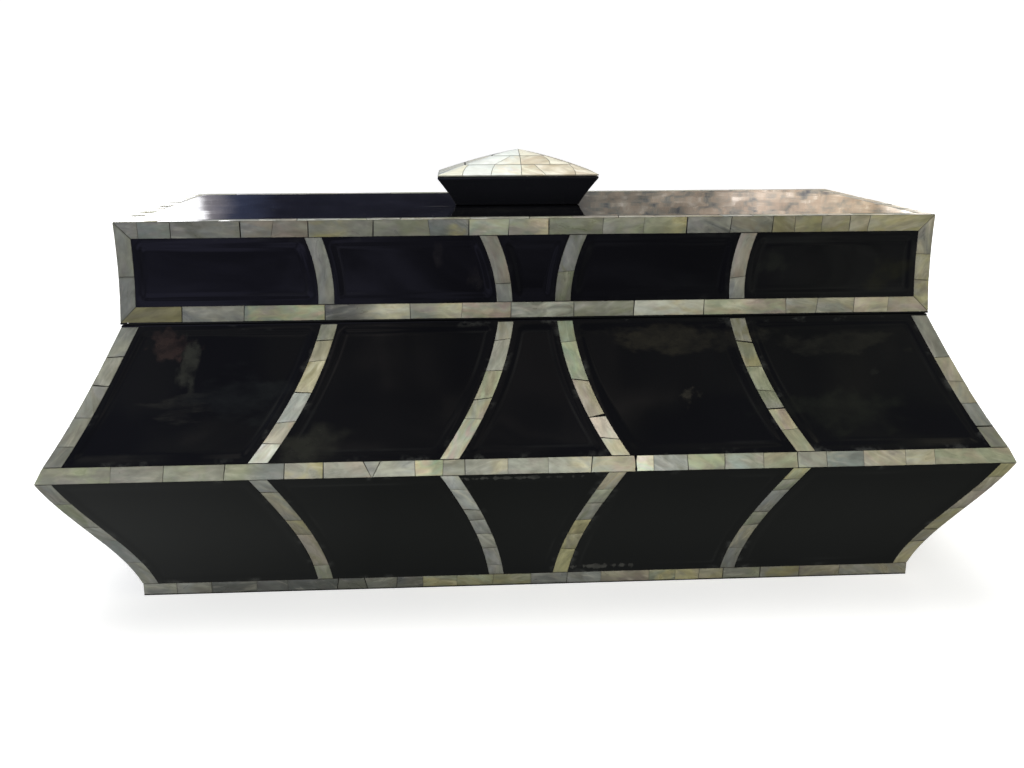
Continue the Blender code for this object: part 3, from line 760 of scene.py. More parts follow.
RIM_LOOKS = [("sage5", "dove4"), ("dove5", "dove4"), ("sage5", "dove5"), ("dove6>sea4", "sage5>grey4"),
             ("dove6", "straw6", 0.05, 0.3, 0.5), ("dove5>rose6", "dove6"), ("dove6", "grey5"),
             ("dove6>grey6", "dove7"), ("sand8>mint6", "rose7>sand6", 0.22, 0.2, 0.2),
             ("sand4", "dove5"), ("dove5>sand7", "dove6", 0.03, 0.3, 0.5), ("dove5", "dove6", 0.06, 0.3, 0.3),
             ("dove6>sand8", "dove7"), ("dove7>rose6", "sand7", 0.1, 0.3, 0.3),
             ("mint9>dove8", "dove9", 0.25, 0.1, 0.15), ("grey6", "dove5", 0.06, 0.3, 0.5),
             ("dove5", "sage6", 0.12), ("dove5", "sea6", 0.12, 0.2, 0.3), ("sand5", "sage5", 0.05),
             ("sage6", "dove5"), ("dove5>grey3", "sea4"), ("rose5", "sand6", 0.08),
             ("sand6", "dove6"), ("sage5", "sand5", 0.04, 0.2, 0.2)]
BASE_JOINTS = [(-177.0, 0.0, 0.08), (-159.9, 0.1, 0.10), (-137.7, 0.0, 0.08), (-122.4, 0.1, 0.10),
               (-97.6, 0.5, 0.20), (-83.7, -0.7, 0.20), (-68.2, 0.3, 0.14), (-55.2, 0.0, 0.10),
               (-38.1, 0.0, 0.08), (-19.9, 0.2, 0.10), (-0.7, 0.0, 0.08), (17.6, 0.2, 0.14),
               (34.9, 0.0, 0.08), (59.5, 0.0, 0.08), (72.9, 0.0, 0.08), (85.2, 0.1, 0.08),
               (97.6, 0.1, 0.18), (116.8, 0.0, 0.16), (137.1, 0.0, 0.14), (158.0, 0.0, 0.05)]
# The very dark tones at the left end of the base are partly the shell's own tone and partly painted shade,
# where that end of the base sits in shadow.
BASE_LOOKS = [("dove4", "grey3"), ("grey3>dove2", "dove3"), ("grey0", "grey0"), ("grey0", "grey1"),
              ("grey0", "grey0"), ("dove1", "grey0"), ("dove2", "grey0"), ("grey0", "dove1"),
              ("straw4", "sage3"), ("sage4", "straw3"), ("straw3", "sage3"), ("grey2", "dove3"),
              ("grey3", "dove2"), ("sand4", "rose3"), ("straw5", "sage3"), ("straw5", "sand4"),
              ("straw4", "sand4"), ("sage3", "dove2"), ("dove3", "straw3"), ("sand3", "rose2"),
              ("sand3", "dove3")]
# Rib joints as shares of each rib's height, from its foot; then the looks.
RIB_JOINTS = {
    ("upper", 0, -1): [0.133, 0.282, 0.492, 0.723, 0.877],
    ("upper", 1, -1): [0.279, 0.423, 0.629, 0.862],
    ("upper", 1, 1): [0.122, (0.281, 0.5, 0.10, 0.55), 0.549, 0.838],
    ("upper", 0, 1): [0.158, 0.311, 0.444, 0.626, 0.817],
    ("lower", 0, -1): [0.136, 0.461, 0.612, 0.888],
    ("lower", 1, -1): [0.093, 0.272, 0.422, 0.571, 0.674, 0.872],
    ("lower", 1, 1): [0.24, 0.397, 0.543, 0.713, 0.845],
    ("lower", 0, 1): [0.207, 0.447, 0.581, 0.797, 0.898],
    ("lid", 0, -1): [], ("lid", 1, -1): [0.28], ("lid", 1, 1): [0.45], ("lid", 0, 1): [0.33],
}
RIB_LOOKS = {
    ("upper", 0, -1): [("dove8", "grey9", 0.08, 0.2, 0.4), ("dove6", "rose7", 0.12), ("grey7", "grey6"),
                       ("sand7", "straw5", 0.04, 0.3, 0.4), ("sand5", "sand6"), ("dove4", "sage4")],
    ("upper", 1, -1): [("rose7", "dove6", 0.30, 0.2, 0.3), ("sand6", "dove5", 0.14), ("sand5", "sage6"),
                       ("dove5", "dove6", 0.05, 0.2, 0.4), ("sand5", "dove5")],
    ("upper", 1, 1): [("dove8", "sand8"), ("rose8", "dove8"), ("sand6", "rose6"),
                      ("mint5", "sage6", 0.12, 0.2, 0.1), ("sage4", "mint5")],
    ("upper", 0, 1): [("sage5", "sand5", 0.10), ("sand6", "rose5", 0.15, 0.2, 0.3), ("sage4", "dove4"),
                      ("sage4", "sage5"), ("sage4", "straw4"), ("straw3", "dove4")],
    ("lower", 0, -1): [("sage4", "dove4"), ("sand4", "rose5"), ("sand4", "straw5"),
                       ("dove4", "sand5"), ("grey4", "dove5")],
    ("lower", 1, -1): [("dove4", "grey4"), ("dove4", "grey5"), ("dove5", "dove6"), ("dove5", "grey5"),
                       ("grey6", "dove5"), ("dove7", "grey6"), ("grey7", "dove7")],
    ("lower", 1, 1): [("straw6", "straw5"), ("straw6", "sand5"), ("straw5", "straw6", 0.04, 0.2, 0.3),
                      ("sage4", "dove5"), ("sage6", "dove5"), ("sand6", "dove6")],
    ("lower", 0, 1): [("dove3", "grey3"), ("sand5", "dove4", 0.04, 0.4, 0.3), ("dove4", "sage4"),
                      ("dove4", "grey4"), ("dove5", "sage5"), ("sage6", "straw6")],
    ("lid", 0, -1): [("grey3", "dove3", 0.04, 0.2, 0.1)],
    ("lid", 1, -1): [("dove3", "grey3", 0.06), ("rose3", "dove3", 0.06)],
    ("lid", 1, 1): [("sage2", "dove2"), ("sage2", "grey3")],
    ("lid", 0, 1): [("grey3", "dove4"), ("dove4", "rose4", 0.1)],
}
CORNER_JOINTS = {
    ("lower", -1): [20.5, 35.7, 44.8, 60.0], ("lower", 1): [20.9, 29.1, 43.6, 54.8, 63.6],
    ("upper", -1): [86.6, 98.0, 111.0, 123.0], ("upper", 1): [87.3, 97.0, 106.5, 117.0],
    ("lid", -1): [158.8], ("lid", 1): [152.7, 165.1],
}
CORNER_LOOKS = {
    ("lower", -1): [("grey4", "dove4"), ("grey4", "sea4"), ("grey5", "dove4"), ("dove5", "sage4"),
                    ("dove4", "grey4")],
    ("lower", 1): [("straw5", "sand5"), ("sand4", "dove4"), ("sand5", "straw5"), ("sand6", "rose5"),
                   ("sand5", "rose5"), ("sand4", "straw5")],
    ("upper", -1): [("grey3", "dove3"), ("grey4", "dove4"), ("dove4", "grey5"),
                    ("dove4", "dove6", 0.04, 0.3, 0.4), ("dove5>grey3", "grey4", 0.04, 0.3, 0.3)],
    ("upper", 1): [("sage3", "dove3"), ("dove3", "grey4"), ("sand5", "dove4"), ("rose5", "sand5"),
                   ("dove4", "dove3")],
    ("lid", -1): [("grey2", "grey3"), ("grey3", "dove3")],
    ("lid", 1): [("straw5", "sand4"), ("sand5", "straw5"), ("dove3", "sand5")],
}


def build_ribs(tiles, side, zones):
    ribs = SIDES[side][2]
    for zone in zones:
        lo, hi = RIB_SPAN[zone]
        for k in range(len(ribs[zone])):
            for which in (-1, 1):
                given, looks = None, None
                if side == 0:
                    given = []
                    for g in RIB_JOINTS[zone, k, which]:
                        g = g if isinstance(g, tuple) else (g, tiles.rng.uniform(-0.5, 0.5))
                        given.append((lo + (hi - lo) * g[0],) + g[1:])
                    looks = RIB_LOOKS[zone, k, which]
                joints = joints_between(tiles.rng, lo, hi, 11.0, given, 2 * SLOT)
                rib(tiles, side, zone, k, which, joints, looks)


def build_corners(tiles, side, zone, lo, hi, mean, framed=False):
    for sign in (-1, 1):
        given = CORNER_JOINTS[zone, sign] if side == 0 else None
        looks = CORNER_LOOKS[zone, sign] if side == 0 else None
        joints = joints_between(tiles.rng, lo, hi, mean, given, 2 * SLOT)
        corner_band(tiles, side, sign, zone, joints, framed, looks)


def body_tiles(material):
    tiles = TileMesh(11)
    rng = tiles.rng
    for side in range(4):
        half = SIDES[side][0]
        front = side == 0
        joints = joints_between(rng, -half, half, 17.0, RIM_JOINTS if front else None)
        level_band(tiles, side, "rim", Z_RIM_LOW, Z_RIM_TOP, joints, "run",
                   RIM_LOOKS if front else None)
        h = half - IN_BASE
        joints = joints_between(rng, -h, h, 16.0, BASE_JOINTS if front else None)
        level_band(tiles, side, "base", Z_FOOT, Z_BASE, joints, "run",
                   BASE_LOOKS if front else None)
        for zone in ("lower", "upper"):
            build_corners(tiles, side, zone, *RIB_SPAN[zone], 12.5)
        build_ribs(tiles, side, ("lower", "upper"))
    return tiles.finish("body_pearl_tiles", material)


# The lid's top border gets paler tints than its upright bands: painted light, as the top faces the light
# above.
LIT_TOP_BORDER_TINTS = ["dove7", "grey7", "dove6", "sage7", "dove8", "sand7", "grey6", "rose7"]


def lid_tiles(material):
    tiles = TileMesh(23)
    rng = tiles.rng
    for side in range(4):
        half = SIDES[side][0]
        front = side == 0
        h = half - IN_LID_LOW
        joints = joints_between(rng, -h, h, 19.0, LID_LOW_JOINTS if front else None)
        level_band(tiles, side, "lid", Z_LID_BAND, Z_LID_BAND_TOP, joints, "frame_low",
                   LID_LOW_LOOKS if front else None)
        joints = joints_between(rng, -h, h, 17.0, LID_TOP_JOINTS if front else None)
        level_band(tiles, side, "lid", Z_LID_TOP_BAND, Z_LID_TOP, joints, "frame_high",
                   LID_TOP_LOOKS if front else None)
        joints = joints_between(rng, -h, h, 18.0)
        level_band(tiles, side, "top", 0.0, BAND_W, joints, "run",
                   [(rng.choice(LIT_TOP_BORDER_TINTS), rng.choice(LIT_TOP_BORDER_TINTS), 0.06) for _ in joints])
        build_corners(tiles, side, "lid", Z_LID_BAND, Z_LID_TOP, 15.0, framed=True)
        build_ribs(tiles, side, ("lid",))
    return tiles.finish("lid_pearl_tiles", material)


# --------------------------------------------------------------- black pieces
def shell_columns(side):
    """Column lines round one side, and what lies between them. Each lacquer
    panel gets extra lines near its edges for the shallow dish."""
    ribs = SIDES[side][2]
    pairs = len(ribs["upper"])
    order = [(k, -1) for k in range(pairs)] + [(k, 1) for k in reversed(range(pairs))]
    cols = [("corner", -1, 0.0, 0.0), ("band", -1, 0.0, 0.0)]
    kinds = ["bed"]

    def panel(left, right):
        """left and right are (kind, ...) of the lines that bound the panel."""
        for o, f in DISH_STEPS:
            cols.append(left + (o, f))
            kinds.append("panel")
        for o, f in reversed(DISH_STEPS):
            cols.append(right + (o, f))
            kinds.append("panel")
        cols.append(right + (0.0, 0.0))
        kinds.append("panel")

    left = ("band", -1)
    for k, which in order:
        panel(left, ("rib", (k, which), -1))
        cols.append(("rib", (k, which), 1, 0.0, 0.0))
        kinds.append("bed")
        left = ("rib", (k, which), 1)
    panel(left, ("band", 1))
    kinds.append("bed")
    return cols, kinds


def shell_point(side, col, level, deep):
    zone, z, ribzone, ribz, dish = level[:5]
    half = SIDES[side][0]
    off, share = col[-2], col[-1]
    depth = BED if deep else DISH * dish * share
    if col[0] == "corner":
        t = -(half - inset_at(zone, z))
        return place(side, t, zone, z, depth, -1.0)
    if col[0] == "band":
        t = col[1] * (half - inset_at(zone, z) - (BAND_W + off) * lean(zone, z))
        return place(side, t, zone, z, depth)
    (k, which), flank = col[1], col[2]
    t = rib_edge(side, ribzone, ribz, k, which, flank * (RIB_W / 2 + off))
    return place(side, t, zone, z, depth)


def black_shell(bm, levels, kinds):
    cols, col_kinds = [], []
    counts = []
    for side in range(4):
        c, k = shell_columns(side)
        cols += [(side, x) for x in c]
        col_kinds += k
        counts.append(len(c))
    n = len(cols)
    made = {}
    verge = bm.verts.layers.float.new("verge")

    def vert(k, c, deep):
        key = (k, c % n, deep)
        if key not in made:
            side, col = cols[c % n]
            v = bm.verts.new(shell_point(side, col, levels[k], deep))
            near_col, near_row = min(col[-2] / 6.6, 1.0), min(levels[k][5] / 6.6, 1.0)
            if not deep and col[0] != "corner":
                inner = near_col if levels[k][4] > 0.999 else min(near_col, near_row) \
                    if near_col > 0 else 0.0
                v[verge] = 1.0 - inner
            made[key] = v
        return made[key]

    def is_deep(r, c):
        return kinds[r] == "band" or (kinds[r] == "panel" and col_kinds[c % n] == "bed")

    last = len(kinds) - 1
    for r in range(len(kinds)):
        for c in range(n):
            deep = is_deep(r, c)
            bm.faces.new([vert(r, c, deep), vert(r, c + 1, deep),
                          vert(r + 1, c + 1, deep), vert(r + 1, c, deep)])
            if is_deep(r, c + 1) != deep:
                bm.faces.new([vert(r, c + 1, False), vert(r + 1, c + 1, False),
                              vert(r + 1, c + 1, True), vert(r, c + 1, True)])
            if r < last and is_deep(r + 1, c) != deep:
                bm.faces.new([vert(r + 1, c, False), vert(r + 1, c + 1, False),
                              vert(r + 1, c + 1, True), vert(r + 1, c, True)])
    if is_deep(last, 0):
        for c in range(n):
            bm.faces.new([vert(last + 1, c, True), vert(last + 1, c + 1, True),
                          vert(last + 1, c + 1, False), vert(last + 1, c, False)])
    foot = [vert(0, c, False) for c in range(n)]
    head = [vert(last + 1, c, False) for c in range(n)]
    return foot, head, counts


def spread(lo, hi, n):
    return [lo + (hi - lo) * k / n for k in range(n + 1)]


def panel_rows(zone, lo, hi, n):
    """Heights between two bands, closer near them, each with its share of the
    dish and its distance from the nearer band. The last row ends the zone."""
    rise = abs(tangent(zone, (lo + hi) / 2)[1])
    rows = [(lo + o * rise, f, o) for o, f in DISH_STEPS]
    first, last = rows[-1][0], hi - DISH_STEPS[-1][0] * rise
    rows += [(z, 1.0, 9.0) for z in spread(first, last, n)[1:]]
    rows += [(hi - o * rise, f, o) for o, f in reversed(DISH_STEPS[:-1])]
    return rows + [(hi, 0.0, 0.0)]


def plain_ring(bm, inset, z):
    hx, hy = (HALF_X - inset) * MM, (HALF_Y - inset) * MM
    return [bm.verts.new((x, y, z * MM)) for x, y in
            ((-hx, -hy), (hx, -hy), (hx, hy), (-hx, hy))]


def ring_wall(bm, lower, upper):
    return [bm.faces.new([lower[k], lower[(k + 1) % 4], upper[(k + 1) % 4], upper[k]])
            for k in range(4)]


def rim_face(bm, outer, inner, counts):
    start, n = 0, len(outer)
    for k in range(4):
        run = [outer[(start + j) % n] for j in range(counts[k] + 1)]
        bm.faces.new(run + [inner[(k + 1) % 4], inner[k]])
        start += counts[k]


def finish_black(bm, name, gloss, satin, inside):
    """inside(face centre, normal) picks the faces painted satin."""
    bmesh.ops.recalc_face_normals(bm, faces=bm.faces)
    bm.normal_update()
    for f in bm.faces:
        f.material_index = 1 if inside(f.calc_center_median() / MM, f.normal) else 0
    mesh = bpy.data.meshes.new(name)
    bm.to_mesh(mesh)
    bm.free()
    mesh.shade_smooth()
    mesh.set_sharp_from_angle(angle=math.radians(28))
    mesh.materials.append(gloss)
    mesh.materials.append(satin)
    obj = bpy.data.objects.new(name, mesh)
    bpy.context.scene.collection.objects.link(obj)
    return obj


def rounded_edge(bm, ring, inset_from, z_from, steps, flip=False):
    """Rounds a black edge over: rings stepping inwards and along z from a ring
    whose upright faces stand at inset_from."""
    n = len(ring)
    previous = ring
    for inset, dz in steps:
        new = []
        for v in ring:
            x, y = v.co.x / MM, v.co.y / MM
            sx = math.copysign(inset, x) if abs(abs(x) - (HALF_X - inset_from)) < 0.3 else 0.0
            sy = math.copysign(inset, y) if abs(abs(y) - (HALF_Y - inset_from)) < 0.3 else 0.0
            new.append(bm.verts.new(((x - sx) * MM, (y - sy) * MM, (z_from + dz) * MM)))
        for c in range(n):
            quad = [previous[c], previous[(c + 1) % n], new[(c + 1) % n], new[c]]
            bm.faces.new(quad[::-1] if flip else quad)
        previous = new
    return previous


def body_black(gloss, satin):
    bm = bmesh.new()
    levels, kinds = [], []

    def add(zone, z, ribzone, ribz, kind=None, dish=0.0, off=0.0):
        if levels:
            kinds.append(kind)
        levels.append((zone, z, ribzone, ribz, dish, off))

    add("base", 0.0, "lower", Z_BASE)
    add("base", Z_FOOT, "lower", Z_BASE, "plain")
    add("base", Z_BASE, "lower", Z_BASE, "band")
    for z, f, o in panel_rows("lower", Z_BASE, Z_RIM_LOW, 15):
        add("lower", z, "lower", z, "panel", f, o)
    add("upper", Z_RIM_TOP, "upper", Z_RIM_TOP, "band")
    for z, f, o in panel_rows("upper", Z_RIM_TOP, Z_RIB_END, 15):
        add("upper", z, "upper", z, "panel", f, o)
    foot, head, counts = black_shell(bm, levels, kinds)
    # black lip above the ribs, its edge rubbed round
    last = rounded_edge(bm, head, IN_MOUTH, Z_RIB_END,
                        ((0.0, 0.38), (0.06, 0.56), (0.2, 0.67), (0.42, 0.7)))
    bm.faces.new(foot[::-1])
    rings = [plain_ring(bm, i, z) for i, z in INNER]
    rim_face(bm, last, rings[-1], counts)
    for a, b in zip(rings, rings[1:]):
        ring_wall(bm, b, a)
    bm.faces.new(rings[0])

    def inside(c, nrm):
        return c.z < 0.05 or (abs(c.x) < HALF_X - 9.5 and abs(c.y) < HALF_Y - 9.5
                              and (Vector((c.x, c.y)).dot(Vector((nrm.x, nrm.y))) < 0
                                   or nrm.z > 0.9) and c.z < Z_MOUTH - 0.3)
    return finish_black(bm, "body_lacquer", gloss, satin, inside)


def lid_black(gloss, satin):
    bm = bmesh.new()
    levels, kinds = [], []

    def add(zone, z, ribz, kind=None, dish=0.0, off=0.0):
        if levels:
            kinds.append(kind)
        levels.append((zone, z, "lid", ribz, dish, off))

    add("lid", Z_LID_BAND, Z_LID_BAND_TOP)
    add("lid", Z_LID_BAND_TOP, Z_LID_BAND_TOP, "band")
    for z, f, o in panel_rows("lid", Z_LID_BAND_TOP, Z_LID_TOP_BAND, 5):
        add("lid", z, z, "panel", f, o)
    add("lid", Z_LID_TOP, Z_LID_TOP_BAND, "band")
    add("top", BAND_W, Z_LID_TOP_BAND, "band")
    foot, head, counts = black_shell(bm, levels, kinds)
    # black edge under the lower band, rubbed round
    last = rounded_edge(bm, foot, IN_LID_LOW, Z_LID_BAND,
                        ((0.0, -0.35), (0.08, -0.6), (0.25, -0.75), (0.5, -0.8)), flip=True)
    bm.faces.new(head)
    out_t = INNER[-1][0] + 0.6
    in_t = out_t + TONGUE_T
    in_w = IN_LID_LOW + WALL
    rows = [(out_t, Z_LID), (out_t, Z_LID - TONGUE_DROP), (in_t, Z_LID - TONGUE_DROP),
            (in_t, Z_LID + TONGUE_UP), (in_w, Z_LID + TONGUE_UP + 0.5),
            (in_w + 0.6, Z_LID_TOP - PLATE)]
    rings = [plain_ring(bm, i, z) for i, z in rows]
    rim_face(bm, last, rings[0], counts)
    for a, b in zip(rings, rings[1:]):
        ring_wall(bm, a, b)
    bm.faces.new(rings[-1])

    def inside(c, nrm):
        return (abs(c.x) < HALF_X - IN_LID_LOW - 2.0 and abs(c.y) < HALF_Y - IN_LID_LOW - 2.0
                and c.z < Z_LID_TOP - 5.0)
    return finish_black(bm, "lid_lacquer", gloss, satin, inside)


def rounded_ring(bm, hx, hy, z, r, seg=5):
    pts = []
    for cx, cy, a0 in ((hx - r, -hy + r, -90), (hx - r, hy - r, 0),
                       (-hx + r, hy - r, 90), (-hx + r, -hy + r, 180)):
        for k in range(seg + 1):
            a = math.radians(a0 + 90 * k / seg)
            pts.append((cx + r * math.cos(a), cy + r * math.sin(a)))
    return [bm.verts.new(((KNOB_X + x) * MM, y * MM, z * MM)) for x, y in pts]


def knob_black(gloss, satin):
    """Four-sided grip whose sides splay, barely hollow, to a thin lip."""
    bm = bmesh.new()
    rings = [rounded_ring(bm, KNOB_FOOT[0] - 0.3, KNOB_FOOT[1] - 0.3, KNOB_Z, 0.7),
             rounded_ring(bm, KNOB_FOOT[0], KNOB_FOOT[1], KNOB_Z + 0.3, 0.9)]
    steps = 22
    for k in range(1, steps + 1):
        s = k / steps
        out = s ** 1.15
        rings.append(rounded_ring(bm, KNOB_FOOT[0] + (KNOB_RIM[0] - KNOB_FOOT[0]) * out,
                                  KNOB_FOOT[1] + (KNOB_RIM[1] - KNOB_FOOT[1]) * out,
                                  KNOB_Z + 0.3 + (KNOB_LIP - KNOB_Z - 0.3) * s, 0.8 + 0.2 * s))
    rings += [rounded_ring(bm, KNOB_RIM[0], KNOB_RIM[1], KNOB_TOP - 0.25, 1.0),
              rounded_ring(bm, KNOB_RIM[0] - 0.25, KNOB_RIM[1] - 0.25, KNOB_TOP, 0.9)]
    n = len(rings[0])
    for a, b in zip(rings, rings[1:]):
        for c in range(n):
            bm.faces.new([a[c], a[(c + 1) % n], b[(c + 1) % n], b[c]])
    bm.faces.new(rings[0][::-1])
    bm.faces.new(rings[-1])
    return finish_black(bm, "knob_lacquer", gloss, satin, lambda c, nrm: nrm.z < -0.99)


# Knob roof, front first: rows of joints, each by its place at the row's lower
# and upper edge, as a share of the half run there.
CAP_ROWS = [(0.0, 0.33), (0.33, 0.67), (0.67, 0.985)]
CAP_JOINTS = {
    0: [[(-0.69, -0.93), (-0.34, -0.44), (0.04, 0.05), (0.34, 0.30), (0.71, 0.95)],
        [(-0.46, -0.30), (0.05, 0.06), (0.60, 0.93)], [(0.06, 0.06)]],
    1: [[(-0.3, -0.35), (0.35, 0.4)], [(0.05, 0.05)], []],
    2: [[(-0.6, -0.75), (-0.2, -0.2), (0.15, 0.2), (0.55, 0.7)], [(-0.35, -0.45), (0.1, 0.1), (0.5, 0.7)],
        [(0.0, 0.0)]],
    3: [[(-0.35, -0.4), (0.3, 0.35)], [(-0.05, -0.05)], []],
}
# Cap tints carry painted light: snow and ivory on the faces that catch the light above, peach as painted
# shade on the right face and the right of the front face.
CAP_LOOKS = {
    0: [[("snow", "ivory"), ("snow", "snow"), ("snow", "ivory"), ("ivory", "peach"),
         ("ivory", "peach"), ("peach", "ivory")],
        [("snow", "snow"), ("snow", "ivory"), ("ivory", "peach"), ("ivory", "ivory")],
        [("snow", "snow"), ("ivory", "snow")]],
    1: [[("ivory", "peach")] * 3, [("peach", "ivory")] * 2, [("ivory", "ivory")]],
    2: [[("ivory", "snow")] * 5, [("ivory", "snow")] * 4, [("ivory", "snow")] * 2],
    3: [[("snow", "ivory")] * 3, [("snow", "ivory")] * 2, [("snow", "snow")]],
}


def cap_tiles(material):
    """Pearl roof of the knob: four faces of three rows, a little crowned."""
    tiles = TileMesh(5, 0.03)
    for side in range(4):
        run_half, off_half = KNOB_RIM if side % 2 == 0 else KNOB_RIM[::-1]
        rise = (CAP_APEX - CAP_Z) / off_half
        flat = 1 / math.sqrt(1 + rise * rise)
        for r, (a0, a1) in enumerate(CAP_ROWS):
            edges = [(-1.0, -1.0)] + CAP_JOINTS[side][r] + [(1.0, 1.0)]
            for q in range(len(edges) - 1):
                def spot(f, a, depth):
                    z = CAP_Z + CAP_EDGE + (CAP_APEX - CAP_Z - CAP_EDGE) * a \
                        + CAP_BULGE * 4 * a * (1 - a)
                    t = f * run_half * (1 - a)
                    n = off_half * (1 - a) - depth * rise * flat * 0.6
                    x, y = [(t, -n), (n, t), (-t, n), (-n, -t)][side]
                    return Vector(((KNOB_X + CAP_APEX_X * a + x) * MM, y * MM,
                                   (z - depth * flat) * MM))

                def point(a, b, depth, e0=edges[q], e1=edges[q + 1], a0=a0, a1=a1):
                    lo = 0.010 if a0 > 0 else 0.0
                    h = a0 + lo + (a1 - a0 - lo) * b
                    g = 0.09 / max(run_half * (1 - h), 1.0)
                    left = e0[0] * (1 - b) + e0[1] * b
                    right = e1[0] * (1 - b) + e1[1] * b
                    return spot(left + g + (right - left - 2 * g) * a, h, depth * 0.6)

                mid = run_half * (1 - (a0 + a1) / 2)
                length = max(mid * (sum(edges[q + 1]) - sum(edges[q])) / 2, 1.5)
                look = CAP_LOOKS[side][r][q] + (tiles.rng.choice([0.05, 0.1, 0.15]), 0.3, 0.15)
                tiles.add(point, (length, 9.0), look, n_along=max(2, int(length / 4)), n_across=3,
                          soft=(0.12, 0.12, 0.16, 0.12), tilt=0.5, even=0.5)
    return tiles.finish("knob_cap_tiles", material)


# --------------------------------------------------------------- build pieces
# Painted reflections on the body's lacquer: dim patches on the panels and two thin pale highlight lines, set
# into its colour.
PAINTED_REFLECTIONS = [
    (-0.167, -0.078, 0.1265, 0.013, 0.008, (0.026, 0.017, 0.016), (110, 110, 80)),
    (-0.159, -0.080, 0.120, 0.007, 0.016, (0.023, 0.024, 0.021), (110, 110, 50)),
    (-0.161, -0.089, 0.102, 0.022, 0.008, (0.015, 0.015, 0.014), (45, 45, 260)),
    (-0.130, -0.085, 0.106, 0.030, 0.014, (0.008, 0.009, 0.010), (30, 30, 90)),
    (-0.101, -0.099, 0.084, 0.026, 0.015, (0.017, 0.0175, 0.015), (28, 35, 40)),
    (0.072, -0.091, 0.102, 0.0065, 0.0045, (0.026, 0.024, 0.020), (150, 150, 150)),
    (0.162, -0.086, 0.111, 0.005, 0.003, (0.018, 0.019, 0.017), (150, 150, 150)),
    (0.066, -0.079, 0.127, 0.050, 0.008, (0.014, 0.013, 0.0105), (60, 60, 120)),
    (0.142, -0.080, 0.124, 0.060, 0.008, (0.010, 0.010, 0.009), (60, 60, 120)),
    (0.150, -0.095, 0.095, 0.050, 0.012, (0.008, 0.009, 0.008), (40, 40, 60)),
    (-0.010, -0.108, 0.0699, 0.038, 0.0013, (0.070, 0.070, 0.064), (330, 160, 90)),
    (0.036, -0.078, 0.0098, 0.022, 0.0018, (0.050, 0.050, 0.046), (300, 190, 90)),
]
# Painted reflections on the lid's lacquer: dim patches on its front panels, and on its top a pale highlight
# line by the knob's left foot and a dim patch of the knob's reflection in front of it.
LID_PAINTED_REFLECTIONS = [
    (0.168, -0.072, 0.157, (0.019, 0.03, 0.013), 0, (0.0085, 0.0085, 0.0062), (50, 50, 60)),
    (0.116, -0.072, 0.162, (0.010, 0.03, 0.011), 0, (0.0078, 0.0085, 0.0080), (70, 70, 50)),
    (-0.044, -0.072, 0.167, (0.004, 0.03, 0.009), 0, (0.0085, 0.0078, 0.0090), (110, 110, 70)),
    (-0.026, -0.072, 0.156, (0.005, 0.03, 0.007), 0, (0.0085, 0.0078, 0.0085), (110, 110, 70)),
    (-0.0445, -0.014, 0.184, (0.011, 0.0014, 0.02), 0, (0.45, 0.45, 0.47), (90, 500, 1)),
    (-0.012, -0.036, 0.184, (0.040, 0.020, 0.02), 0, (0.012, 0.012, 0.0125), (60, 130, 1)),
]
black_body = lacquer("lacquer_body", (0.0036, 0.0037, 0.0046), 0.03, 0.05, wave=0.45, painted_reflections=PAINTED_REFLECTIONS)
black_lid = lacquer("lacquer_lid", (0.0034, 0.0034, 0.0048), 0.010, 0.025, peel=0.25, wave=0.12,
                    top_dust=0.20, painted_reflections=LID_PAINTED_REFLECTIONS)
# The knob's lacquer is paler than the body's: painted sheen, standing in for the knob's soft horizontal
# reflections.
knob_lacquer_painted_sheen = lacquer("lacquer_knob", (0.0075, 0.0078, 0.0105), 0.04, 0.05)
black_satin = satin_black("satin_black")
pearl_body = mother_of_pearl("pearl_body", 1.0)
pearl_lid = mother_of_pearl("pearl_lid", 1.0)
pearl_cap = mother_of_pearl("pearl_cap", 1.0, contrast=0.5)

pieces = [
    (body_black(black_body, black_satin), "box_body", "body_lacquer"),
    (body_tiles(pearl_body), "body_pearl_bands", "body_shell"),
    (lid_black(black_lid, black_satin), "lid", "lid_lacquer"),
    (lid_tiles(pearl_lid), "lid_pearl_bands", "lid_shell"),
    (knob_black(knob_lacquer_painted_sheen, black_satin), "knob", "knob_lacquer"),
    (cap_tiles(pearl_cap), "knob_pearl_cap", "knob_shell"),
]
for piece, cad_node, slot_name in pieces:
    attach(piece, "root")
    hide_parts(cad_node)


# ----------------------------------------------------------------------- stage
def stage_mesh(name, verts, faces, material):
    mesh = bpy.data.meshes.new(name)
    mesh.from_pydata(verts, [], faces)
    mesh.update()
    mesh.materials.append(material)
    obj = bpy.data.objects.new(name, mesh)
    bpy.context.scene.collection.objects.link(obj)
    return obj


def pale(name, colour):
    """Pale paper that glows a little, more towards the surrounding sweep."""
    mat, tree, shader = new_material(name)
    pos = node(tree, "ShaderNodeTexCoord").outputs["Object"]
    away = node(tree, "ShaderNodeVectorMath", operation="LENGTH")
    link(tree, pos, away.inputs[0])
    reach = math_node(tree, "MULTIPLY", away.outputs["Value"], 0.25)
    glow = grey_ramp(tree, [(0.03, 0.55), (0.20, 0.68), (0.50, 0.85)], reach, "EASE")
    link(tree, glow, shader.inputs["Emission Strength"])
    shader.inputs["Base Color"].default_value = (*colour, 1)
    shader.inputs["Roughness"].default_value = 0.7
    shader.inputs["Specular IOR Level"].default_value = 0.0
    shader.inputs["Emission Color"].default_value = (1.0, 1.0, 1.0, 1)
    mat.cycles.emission_sampling = "NONE"
    return mat


NEAR, BEND, WALL_R, WALL_H, SEG = 1.2, 2.6, 3.6, 5.0, 64


def circle(r, z):
    return [(r * math.cos(2 * math.pi * k / SEG), r * math.sin(2 * math.pi * k / SEG), z)
            for k in range(SEG)]


